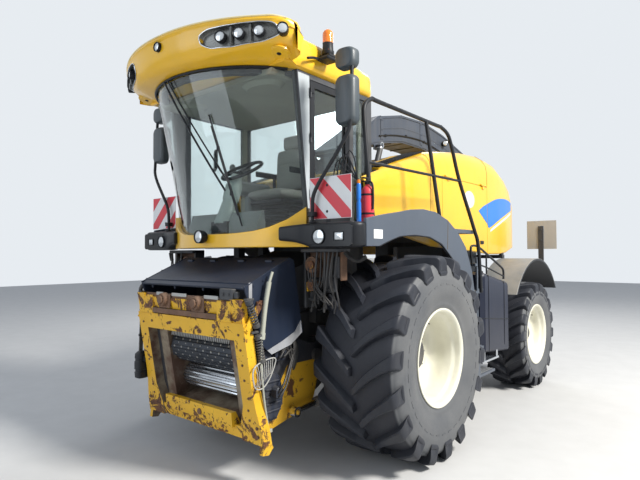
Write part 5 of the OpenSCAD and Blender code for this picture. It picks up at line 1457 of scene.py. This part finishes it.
def make_underside():
    # pulley, pump and hoses under both front corners of the cab, held on a bracket
    g = Geo()
    g.slot = 1
    g.block((.742, -.86, 1.36), (.766, -.74, 1.868), .005)
    g.block((.742, -.9, 1.835), (1.16, -.74, 1.868), .006)
    g.slot = 0
    g.block((1.12, -.84, 1.6), (1.14, -.76, 1.84), .005)
    g.block((.76, -.8, 1.62), (1.1, -.765, 1.84), .008)
    for y, z, r in ((-.885, 1.73, .068), (-.885, 1.56, .05)):
        g.loft([[(.86 + q * i, y + e, z + q * j) for i, j in unit_circle(36)]
            for e, q in ((.1, .03), (.03, .03), (.03, r * .8), (.025, r), (.016, r), (.01, r * .86),
            (.004, r * .86), (-.002, r), (-.01, r), (-.012, r * .82), (-.006, r * .7), (-.006, .028),
            (-.022, .026), (-.022, .004))])
    g.slot = 1
    for x, z0, z1 in ((.8, 1.42, 1.5), (.97, 1.5, 1.66), (1.05, 1.62, 1.8)):
        g.block((x, -.85, z0), (x + .07, -.765, z1), .006)
        for k in range(3):
            g.cyl((x + .015 + k * .02, -.85, z0 + .02), (x + .015 + k * .02, -.872, z0 + .02), .0085, n=6,
                c=.001)
    g.slot = 2
    hose_bunch(g, [(.93 + .028 * k, -.9 + .02 * (k % 3), 1.835) for k in range(8)],
        [(.82 + .042 * k, -.855 + .02 * (k % 2), 1.33 + .035 * (k % 3)) for k in range(8)], .1, .0095, 1)
    hose_bunch(g, [(.81 + .025 * k, -.872, 1.8 - .03 * (k % 2)) for k in range(4)],
        [(.98 + .03 * k, -.872, 1.44 - .02 * k) for k in range(4)], .14, .007, 4)
    # a corrugated sleeve behind the lamp box
    pts, steps = [(1.19, -.86, 1.835), (1.22, -.83, 1.79), (1.27, -.79, 1.765), (1.33, -.76, 1.8)], 8
    line = spline(pts, steps)
    for i in range(len(line) - 1):
        g.cyl(line[i], line[i].lerp(line[i + 1], .62), .021, n=16, c=.003)
    g.tube(pts, .015, n=10, smooth=6)
    g.slot = 3
    g.cyl((.86, -.886, 1.73), (.86, -.912, 1.73), .034, n=24, c=.004)
    g.cyl((.86, -.886, 1.56), (.86, -.912, 1.56), .02, n=20, c=.003)
    g.block((.7655, -.85, 1.5), (.78, -.8, 1.58), .003)
    g.block((.79, -.825, 1.65), (.84, -.8, 1.7), .004)
    g.mirrored()
    # the right one stands further out, clear of the hose on the cover
    g.verts = [(v[0] - .042, v[1], v[2]) if v[0] < 0 else v for v in g.verts]
    piece("valve_bank", g, "rust dark hose frame_yellow", "chassis")
    # pedestal brackets and pipes ahead of the front wheels
    g = Geo()
    for k in range(3):
        g.tube([(.6, -.5 + .04 * k, 1.3 + .02 * k), (.7, -.44 + .04 * k, 1.33), (.74, -.34 + .03 * k, 1.24),
            (.74, -.24, 1.12 - .03 * k)], .01, n=10, smooth=5)
    g.block((.735, -.37, 1.02), (.8, -.25, 1.15), .01)
    g.mirrored()
    piece("drive_pipes", g, "hose", "chassis")


def make_bottle():
    g = Geo()
    c = (1.372, -.8, DECK + .0002)
    turned(g, c, [(.044, 0), (.052, .004), (.052, .235), (.047, .262), (.03, .285), (.017, .292),
        (.016, .302)])
    g.slot = 1
    turned(g, (c[0], c[1], c[2] + .302), [(.019, 0), (.021, .006), (.021, .03), (.012, .036), (.011, .052)],
        20)
    g.block((c[0] - .012, c[1] - .062, c[2] + .345), (c[0] + .012, c[1] + .02, c[2] + .357), .003)
    g.block((c[0] - .01, c[1] - .058, c[2] + .318), (c[0] + .01, c[1] - .012, c[2] + .328), .003)
    g.tube([(c[0] + .02, c[1], c[2] + .325), (c[0] + .055, c[1] - .01, c[2] + .3),
        (c[0] + .062, c[1] - .01, c[2] + .2), (c[0] + .058, c[1] - .01, c[2] + .1)], .008, n=10, smooth=5)
    for z in (.06, .21):
        turned(g, (c[0], c[1], c[2] + z), [(.0525, 0), (.0545, .002), (.0545, .014), (.0525, .016)], 28)
    g.slot = 2
    turned(g, (1.362, -.905, DECK + .0002), [(.016, 0), (.0185, .003), (.0185, .15), (.014, .155),
        (.014, .175), (.0185, .18), (.0185, .29), (.015, .3), (.008, .302)], 20)
    g.slot = 3
    turned(g, (1.362, -.905, 2.3722), [(.013, 0), (.014, .004), (.014, .022), (.009, .028)], 18)
    g.slot = 1
    for k in range(4):
        x = 1.19 + .035 * k
        g.tube([(x, -.985, 2.3), (x - .01, -.985, 2.46), (x + .02, -.97, 2.56 + .02 * k),
            (x + .06, -.95, 2.5 + .02 * k), (1.362 - .004 * k, -.905, 2.39)], .0055, n=8, smooth=5)
    piece("extinguisher", g, "red black blue amber", "chassis")


# The visor's face at x and height z
def visor_face(x, z):
    lo = 3.35 + .11 * (abs(x) / VISOR_X) ** 3 + visor_end(x) * .3
    hi = 3.615 - .015 * (x / VISOR_X) ** 2 - visor_end(x) * .3
    rows = [(lo, .11), (lo + .022, .068), (lo + .07, .038), ((lo + hi) / 2, .018), (hi - .05, .014),
        (hi - .03, 0), (hi - .01, .004), (hi, .022)]
    for (z0, e0), (z1, e1) in zip(rows, rows[1:]):
        if z <= z1:
            return visor_front(x) + e0 + (e1 - e0) * min(1, max(0, (z - z0) / (z1 - z0)))
    return visor_front(x) + .022


def make_visor():
    # lining of the lamp recess with a bright rim
    stations = [(1.03, .15, .198), (1, .127, .22), (.95, .11, .226), (.9, .097, .228), (.8, .086, .227),
        (.7, .074, .224), (.62, .078, .22), (.54, .08, .214), (.48, .107, .188), (.464, .13, .163)]
    g = Geo()
    rows = []
    for x, a, b in stations:
        y, f = visor_front(x), VISOR_Z
        rows.append([(x, visor_face(x, f + a) + .002, f + a), (x, y + .05, f + a + .001),
            (x, y + .0605, f + a + .008), (x, y + .0605, f + b - .008), (x, y + .05, f + b - .001),
            (x, visor_face(x, f + b) + .002, f + b)])
    g.rows(rows)
    for x in (.71, .85):
        y = visor_front(x)
        g.block((x - .012, y + .03, VISOR_Z + .085), (x + .012, y + .06, VISOR_Z + .222), .004)
    g.slot = 1
    loop = [(x, visor_face(x, VISOR_Z + a) - .001, VISOR_Z + a) for x, a, b in stations] + \
        [(x, visor_face(x, VISOR_Z + b) - .001, VISOR_Z + b) for x, a, b in stations[::-1]]
    g.tube(loop, .0042, n=8, smooth=3, closed=True)
    g.mirrored()
    piece("lamp_recess_lining", g, "liner bright", "chassis")
    # pale lip along the visor's top edge
    g = Geo()
    g.tube([(x / 50, visor_front(x / 50) + .006, 3.615 - .015 * (x / 55) ** 2 - visor_end(x / 50) * .3 - .006)
        for x in range(-54, 55, 3)], .0065, n=8, smooth=2)
    piece("visor_lip", g, "pale_yellow", "chassis")
    # round access panels under the visor's corners
    g = Geo()
    c, n = Vector((.93, -1.345, 3.3835)), Vector((0, -.34, -.94)).normalized()
    u = Vector((1, 0, 0))
    v = n.cross(u)

    def ring(r, e):
        return [c + n * e + (u * 1.15 * i + v * j) * r for i, j in unit_circle(36)]
    g.loft([ring(.082, -.004), ring(.082, .005), ring(.078, .008), ring(.07, .006), ring(.066, .009),
        ring(.02, .01), ring(.001, .01)])
    g.slot = 1
    g.loft([ring(.017, .008), ring(.017, .0115), ring(.013, .0125), ring(.001, .0125)])
    g.mirrored()
    piece("visor_panels", g, "yellow black", "chassis")
    # dark seal between visor and windscreen
    g = Geo()
    pts = []
    for k in range(-18, 19):
        x = k * .0475
        pts.append((x, screen_edge(1, x) - .01, 3.322))
    g.tube(pts, .012, n=8, smooth=1)
    piece("screen_seal", g, "black", "chassis")


# The windscreen's outer surface at share t of its height and distance x from the middle
def screen_edge(t, x):
    half, side, mid = .88, -.98 - .38 * t * .37, -1.26 - .38 * t
    sag = side - mid
    r = (half * half + sag * sag) / (2 * sag)
    return mid + r - sqrt(r * r - x * x)


# A point lifted off the windscreen at (x, z)
def on_screen(x, z, lift=0):
    t = (z - SCREEN_Z) / SCREEN_H
    return Vector((x, screen_edge(t, x) - lift, z))


def make_cab_parts():
    # two wiper arms with their blades
    g = Geo()
    for r, a, b in ((.009, (-.16, 3.31), (.3, 2.36)), (.0065, (-.1, 3.31), (.36, 2.4))):
        line = [on_screen(a[0] + (b[0] - a[0]) * k / 8, a[1] + (b[1] - a[1]) * k / 8, .03) for k in range(9)]
        g.tube(line, r, n=10, smooth=2)
    blade = [on_screen(.28 + .1 * k / 10, 2.98 - .92 * k / 10, .012) for k in range(11)]
    g.tube(blade, .007, n=8, smooth=2)
    g.tube([p + Vector((0, -.01, 0)) for p in blade[1:-1]], .009, n=8, smooth=2)
    for k in (3, 7):
        g.block(blade[k] - Vector((.012, .022, .02)), blade[k] + Vector((.012, 0, .02)), .003)
    piece("wipers", g, "black", "chassis")
    # painted reflections: pale strips on the corner pillars
    g = Geo()
    rows = []
    for z in (2.2, 2.5, 2.8, 3.1, 3.31):
        t = (z - SCREEN_Z) / SCREEN_H
        y = -.98 - .1406 * t
        rows.append([(.9006, y + .02, z), (.9022, y + .024, z), (.9022, -.962, z), (.9006, -.958, z)])
    g.loft(rows)
    g.mirrored()
    piece("pillar_painted_reflections", g, "pillar", "chassis")
    # inside: roof lining, armrest console with monitor, shelf
    g = Geo()
    g.loft([[(.52 + r * i, -1.12 + q * j, z) for i, j in unit_circle(24)]
        for r, q, z in ((.17, .11, 3.235), (.22, .15, 3.27))])
    g.block((.8, -.17, 2.45), (.838, -.102, 3.28), .01)
    g.mirrored()
    g.loft([[(x, y, z) for x, z in ((-.8, 3.285), (-.78, 3.268), (.78, 3.268), (.8, 3.285), (.8, 3.315),
        (-.8, 3.315))] for y in (-1.3, -1.26, -.16, -.12)])
    g.block((-.83, -.2, 2.05), (.83, -.105, 2.47), .02)
    piece("cab_linings", g, "trim_warm", "chassis")
    g = Geo()
    g.block((-.46, -.72, 2.44), (-.3, -.2, 2.58), .03)
    g.block((-.43, -.5, 1.99), (-.33, -.26, 2.45), .02)
    g.tube([(-.38, -.66, 2.56), (-.38, -.67, 2.62), (-.38, -.69, 2.68)], .016, n=12, smooth=3)
    turned(g, (-.38, -.695, 2.665), [(.012, 0), (.026, .012), (.032, .04), (.028, .07), (.012, .085)], 20)
    g.tube([(-.44, -.62, 2.55), (-.52, -.7, 2.66), (-.55, -.76, 2.76)], .012, n=10, smooth=4)
    g.slot = 1
    m = Matrix.Rotation(radians(-35), 3, "Z")
    g.block((-.68, -.8, 2.7), (-.42, -.765, 2.89), .01, ((-.55, -.78, 2.8), m))
    for k in range(6):
        g.cyl((-.43 + .022 * k, -.3, 2.58), (-.43 + .022 * k, -.3, 2.589), .007, n=12, c=.001)
    g.slot = 2
    g.block((-.66, -.803, 2.72), (-.44, -.8, 2.87), .001, ((-.55, -.78, 2.8), m))
    piece("armrest_console", g, "trim black screen", "chassis")
    g = Geo()
    g.loft([[(x, y, z) for y, z in ((-1.16 - e, 1.99), (-1.16 - e, 2.1), (-1.1 - e, 2.2), (-1.02, 2.21),
        (-1, 2.1), (-1, 1.99))] for x, e in ((-.62, -.1), (-.45, -.02), (0, 0), (.3, -.01), (.42, -.06))])
    for s in (-.25, .22):
        g.block((s - .05, -1.02, 2), (s + .05, -.88, 2.02), .005)
    piece("floor_console", g, "trim", "chassis")


# The arch's outline: distance behind the turret's axis, height of its top and of its underside
ARCH = [(0, 3.01, 3), (.25, 3.33, 3.11), (.55, 3.53, 3.19), (1.1, 3.655, 3.29), (1.7, 3.68, 3.29),
    (2.3, 3.6, 3.21), (3, 3.43, 3.06), (3.6, 3.23, 2.89), (4, 3.08, 2.76)]
# Distances of the arch's bands
BANDS = (.62, 1.62, 2.62, 3.3)


# The arch's top and underside at distance t
def arch_at(t):
    for a, b in zip(ARCH, ARCH[1:]):
        if t <= b[0]:
            k = (t - a[0]) / (b[0] - a[0])
            return a[1] + (b[1] - a[1]) * k, a[2] + (b[2] - a[2]) * k
    return ARCH[-1][1:]


# Height of the conduit along the arch's left side
def conduit_z(t):
    top, low = arch_at(t)
    return low + (top - low) * .28


def make_spout_parts():
    # flanges along the arch's edges, bands, conduit and lamp
    g = Geo()
    xs = [.28 + .12 * k for k in range(26)]
    for which, inset in ((0, -.02), (1, .03)):
        rings = []
        for t in xs:
            z = arch_at(t)[which] + inset
            y = TURRET_Y + t
            rings.append([(ARCH_X + .0005, y, z - .011), (ARCH_X + .0085, y, z - .011),
                (ARCH_X + .0085, y, z + .011), (ARCH_X + .0005, y, z + .011)])
        g.loft(rings)
    # a crease along the side
    rings = []
    for t in xs[3:-2]:
        top, low = arch_at(t)
        z, y = low + (top - low) * .55, TURRET_Y + t
        rings.append([(.1995, y, z - .022), (.205, y, z), (.1995, y, z + .006)])
    g.loft(rings)
    for t in BANDS:
        top, low = arch_at(t)
        g.block((ARCH_X, TURRET_Y + t - .02, low + .004), (ARCH_X + .0075, TURRET_Y + t + .03, top - .004),
            .002)
        for z in (low + .05, (top + low) / 2, top - .05):
            g.bolt((ARCH_X + .0075, TURRET_Y + t + .005, z), (1, 0, 0), .009, .007)
    for k in range(18):
        t = .4 + k * .16
        g.bolt((ARCH_X + .0085, TURRET_Y + t, arch_at(t)[0] - .02), (1, 0, 0), .005, .004)
    g.mirrored()
    for t in BANDS:
        top, low = arch_at(t)
        g.block((-ARCH_X, TURRET_Y + t - .02, top - .012), (ARCH_X, TURRET_Y + t + .03, top + .004), .002)
    piece("spout_flanges", g, "spout", "spout")
    g = Geo()
    g.tube([(.214, TURRET_Y + t, conduit_z(t)) for t in (.55, .9, 1.3, 1.7, 2.1, 2.5, 2.9, 3.25)], .0075,
        n=10, smooth=4)
    for t in (.7, 1.2, 1.7, 2.2, 2.7, 3.2):
        z = conduit_z(t)
        g.block((ARCH_X, TURRET_Y + t - .01, z - .014), (.224, TURRET_Y + t + .015, z + .014), .003)
    c = Vector((ARCH_X, 2.888, 3.465))
    g.block(c - Vector((0, .02, .035)), c + Vector((.022, .02, .035)), .003)
    add_lamp(g, (.262, 2.86, 3.465), .085, 40)
    piece("spout_lamp", g, "black lens", "spout")
    # dark wear liner under the arch
    g = Geo()
    rows = []
    for t in [.45 + .15 * k for k in range(23)]:
        z = arch_at(t)[1]
        rows.append([(-.19, TURRET_Y + t, z - .002), (.19, TURRET_Y + t, z - .002),
            (.19, TURRET_Y + t, z + .004), (-.19, TURRET_Y + t, z + .004)])
    g.loft(rows)
    for k in range(11):
        t = .55 + k * .3
        z = arch_at(t)[1]
        g.block((-.195, TURRET_Y + t - .005, z - .012), (.195, TURRET_Y + t + .015, z + .002), .003)
    piece("spout_floor_ribs", g, "dark", "spout")
    # bolts and teeth round the turret's ring
    g = Geo()
    for k in range(96):
        a = k * pi / 48
        u, v = Vector((cos(a), sin(a), 0)), Vector((-sin(a), cos(a), 0))
        g.loft([[Vector((0, TURRET_Y, z)) + u * r + v * w for r, w in ((.322, -.007), (.334, -.0028),
            (.334, .0028), (.322, .007))] for z in (2.668, 2.722)])
    g.bolt_ring((0, TURRET_Y, 2.7303), (0, 0, 1), .285, 16, .011, .01, pi / 16)
    piece("turret_ring_teeth", g, "steel", "turret")
    g = Geo()
    for k in range(5):
        g.bolt((.217, 4.66 + k * .11, 2.82), (1, 0, 0), .008, .006)
    g.block((.2172, 4.62, 2.9), (.2225, 5.1, 2.93), .002)
    g.mirrored()
    for k in range(4):
        y, z = 4.66 + k * .12, 3.0832 - k * .0408
        g.block((-.205, y, z - .006), (.205, y + .02, z + .009), .002)
    piece("deflector_ribs", g, "spout", "deflector")


def make_body_parts():
    # ladder treads and the walkway's raised pattern
    g = Geo()
    for z in (.808, 1.108, 1.408, 1.708):
        for i in range(9):
            for j in range(4):
                x, y = 1.14 + i * .028, 1.245 + j * .032
                g.cyl((x, y, z), (x, y, z + .005), .008, .006, n=8)
        g.block((1.125, 1.222, z - .006), (1.395, 1.23, z + .008), .002)
    for i in range(10):
        for j in range(11):
            g.cyl((1.14 + i * .03, 1.255 + j * .036, .508), (1.14 + i * .03, 1.255 + j * .036, .513), .009,
                .006, n=8)
    for i in range(9):
        for j in range(38):
            x, y = .975 + i * .05 + .025 * (j % 2), -.88 + j * .052
            if (y > -.33 and x < 1.075) or x > 1.4:
                continue
            e = .016
            g.loft([[(x - e * q, y - e * q * .4, z), (x + e * q * .6, y - e * q, z),
                (x + e * q, y + e * q * .4, z), (x - e * q * .6, y + e * q, z)]
                for z, q in ((DECK, 1), (DECK + .0035, .5))])
    g.mirrored()
    piece("tread_studs", g, "steel", "chassis")
    # tank: seam, straps and cap
    g = Geo()
    for s in (1, -1):
        g.tube([(s * 1.3, 1.4185, 1.092), (s * 1.352, 1.4195, 1.092), (s * 1.4, 1.481, 1.088),
            (s * 1.401, 1.8, 1.052), (s * 1.401, 2.189, 1.016), (s * 1.358, 2.2515, 1.01)], .0055, n=8,
            smooth=1)
        for y, top in ((1.58, 1.593), (2.06, 1.505)):
            g.tube([(s * 1.395, y, .72), (s * TANK_X, y, .78), (s * TANK_X, y, top - .09),
                (s * 1.385, y, top - .03)], .004, n=8, smooth=3)
        turned(g, (s * 1.25, 1.66, 1.575), [(.05, 0), (.052, .01), (.052, .03), (.044, .04), (.02, .042)], 28)
    piece("tank_fittings", g, "black", "chassis")
    # exhaust: rolled lip and a dark bore
    g = Geo()
    a, b = Vector((-.56, 3.48, 2.7)), Vector((-.56, 3.56, 2.99))
    d = (b - a).normalized()
    u = Vector((1, 0, 0))
    v = d.cross(u)

    def ring(e, r):
        return [b + d * e + (u * i + v * j) * r for i, j in unit_circle(36)]
    g.loft([ring(-.03, .0655), ring(-.004, .067), ring(.001, .0655), ring(.001, .06), ring(-.02, .058),
        ring(-.021, .002)])
    piece("exhaust_lip", g, "rust", "chassis")
    # latches and the door's handles
    for s, body in ((1, "side_panel_left"), (-1, "side_panel_right")):
        g = Geo()
        for y in (1.35, 2.26):
            x = hood_x(y, 1.96)
            g.sided(s, (x - .002, y - .05, 1.94), (x + .012, y + .05, 1.985), .005)
            g.cyl((s * (x + .01), y, 1.9625), (s * (x + .016), y, 1.9625), .012, n=20, c=.002)
        piece("panel_latches_" + body.removeprefix("side_panel_"), g, "black", body)
    g = Geo()
    g.block((.9001, -.462, 2.58), (.9005, -.418, 2.66), .0001)
    g.tube([(.905, -.44, 2.55), (.938, -.44, 2.56), (.938, -.44, 2.68), (.905, -.44, 2.69)], .008, n=12,
        smooth=4)
    g.tube([(.9, -.52, 2.25), (.912, -.52, 2.27), (.912, -.52, 3.1), (.9, -.52, 3.12)], .007, n=10, smooth=2)
    piece("door_handle", g, "black", "cab_door")
    # rear grille: louvre lips and latch
    g = Geo()
    for k in range(7):
        z = 1.96 + k * .06
        g.loft([[(x, 3.8255, z + .03), (x, 3.834, z + .022), (x, 3.836, z + .01), (x, 3.8255, z + .016)]
            for x in (-.645, .645)])
    g.block((-.7, 3.825, 2.13), (-.665, 3.842, 2.2), .004)
    piece("grille_louvres", g, "black", "rear_grille")


# Light boxes: rounded pods that narrow towards the middle, with a glossy panel round the lamps
def make_light_boxes():
    g = Geo()
    rows = []
    for x, front, back, low, high in ((.728, -1.15, -1.11, 1.94, 2.035), (.736, -1.16, -1.108, 1.93, 2.045),
            (.8, -1.148, -1.072, 1.924, 2.052), (.87, -1.128, -1.026, 1.915, 2.058),
            (.93, -1.104, -.945, 1.898, 2.063), (.985, -1.08, -.94, 1.876, 2.067),
            (1.05, -1.071, -.938, 1.87, 2.069), (1.22, -1.066, -.937, 1.869, 2.069),
            (1.37, -1.06, -.937, 1.87, 2.069), (1.415, -1.042, -.937, 1.873, 2.067),
            (1.442, -1.01, -.937, 1.88, 2.06), (1.452, -.975, -.938, 1.89, 2.05)):
        r = min(.03, (back - front) * .45, (high - low) * .3)
        ring = []
        for cy, cz, a0 in ((back - .004, high - .004, 0), (front + r, high - r, 90),
                (front + r, low + r, 180), (back - .004, low + .004, 270)):
            q = r if cy < back - .005 else .004
            for k in range(6):
                a = radians(a0 + k * 18)
                ring.append((x, cy + q * cos(a), cz + q * sin(a)))
        rows.append(ring)
    g.loft(rows)
    g.slot = 1
    pts = []
    for cx, cz, a0 in ((1.385, 2.02, 0), (1.02, 2.02, 90), (1.02, 1.906, 180), (1.385, 1.906, 270)):
        for k in range(7):
            a = radians(a0 + k * 15)
            pts.append((cx + .026 * cos(a), cz + .026 * sin(a)))
    g.prism(1, pts, -1.0712, -1.05)
    g.mirrored()
    piece("light_pods", g, "black gloss", "chassis", ["light_boxes"])


# Brackets below the beacons
def make_beacon_brackets():
    g = Geo()
    for s in (1, -1):
        g.sided(s, (.955, -.93, 3.432), (1.078, -.785, 3.4605), .01)
        g.tube([(s * .97, -.93, 3.445), (s * .99, -1, 3.43), (s, -1.09, 3.4)], .011, n=10, smooth=4)
    piece("beacon_brackets", g, "black", "chassis")


# Rail, step plate and rear marker posts of both sides
def make_side_parts():
    g = Geo()
    g.tube([(RAIL_X, 1.2, 1.7), (RAIL_X, 1.17, 1.86), (RAIL_X, 1.22, 1.905), (RAIL_X, 1.396, 1.889),
        (RAIL_X, 1.72, 1.775), (RAIL_X, 2.065, 1.651), (RAIL_X, 2.13, 1.6), (RAIL_X, 2.13, 1.505)], .0125,
        n=12, smooth=4)
    g.tube([(RAIL_X, 1.6, 1.815), (RAIL_X, 1.6, 1.585)], .01, n=10, smooth=1)
    g.tube([(RAIL_X, 1.2, 1.72), (RAIL_X, 1.6, 1.66), (RAIL_X, 2.13, 1.54)], .009, n=10, smooth=3)
    g.slot = 1
    for k in range(12):
        y = 1.395 + k * .039
        g.block((1.17, y, .6), (1.4, y + .022, .612), .002)
    for x in (1.165, 1.385):
        g.block((x, 1.38, .592), (x + .018, 1.86, .616), .002)
    for y in (1.43, 1.8):
        for x in (1.165, 1.385):
            g.block((x, y, .612), (x + .012, y + .04, .712), .002)
    g.mirrored()
    piece("tank_rails", g, "black bright", "chassis")
    g = Geo()
    for s in (1, -1):
        g.sided(s, (1.222, BOARD_Y - .012, 1.66), (1.302, BOARD_Y - .0005, 2.235), .004)
        for z in (2.02, 2.18):
            g.bolt((s * 1.262, BOARD_Y - .012, z), (0, -1, 0), .012, .008)
    piece("marker_posts", g, "dark", "chassis")


# Pale cover round the steering column, with a boot at its foot
def make_column():
    g = Geo()
    g.tube([(.05, -.985, 2.535), (.14, -.975, 2.555), (.19, -.955, 2.585)], .007, n=10, smooth=4)
    g.mirrored()
    foot, head = Vector((0, -1.118, 2.085)), Vector((0, -.968, 2.565))
    way = (head - foot).normalized()
    side = Vector((1, 0, 0))
    up = way.cross(side)
    rings = []
    for t, a, b in ((0, .095, .085), (.04, .105, .092), (.1, .098, .088), (.3, .082, .075), (.42, .078, .07),
            (.46, .07, .064), (.5, .08, .072), (.66, .084, .078), (.8, .078, .072), (.92, .058, .056),
            (1, .048, .048)):
        c = foot.lerp(head, t)
        rings.append([c + side * (a * i) + up * (b * j) for i, j in unit_circle(36)])
    g.loft(rings)
    piece("column_cover", g, "column", "chassis")
    # pedals
    g = Geo()
    for x in (-.21, .16, .25):
        m = Matrix.Rotation(radians(-35), 3, "X")
        g.block((x, -1.07, 2.05), (x + .07, -1.055, 2.15), .004, ((x, -1.06, 2.1), m))
        g.tube([(x + .035, -1.045, 2.1), (x + .035, -1, 2.05), (x + .035, -.985, 1.995)], .008, n=8, smooth=3)
    piece("pedals", g, "black", "chassis")


def main():
    place_camera()
    make_materials()
    dress_nodes()
    for make in (make_wheels, make_hood, make_lamps, make_boards, make_beacons, make_mirrors, make_rails,
            make_seat, make_plates, make_header, make_rolls, make_feeder_sides, make_hoses, make_underside,
            make_bottle, make_visor, make_cab_parts, make_spout_parts, make_body_parts, make_light_boxes,
            make_beacon_brackets, make_side_parts, make_column):
        make()
    make_stage()
    make_lights()
    bpy.context.scene.view_settings.view_transform = "Standard"


main()
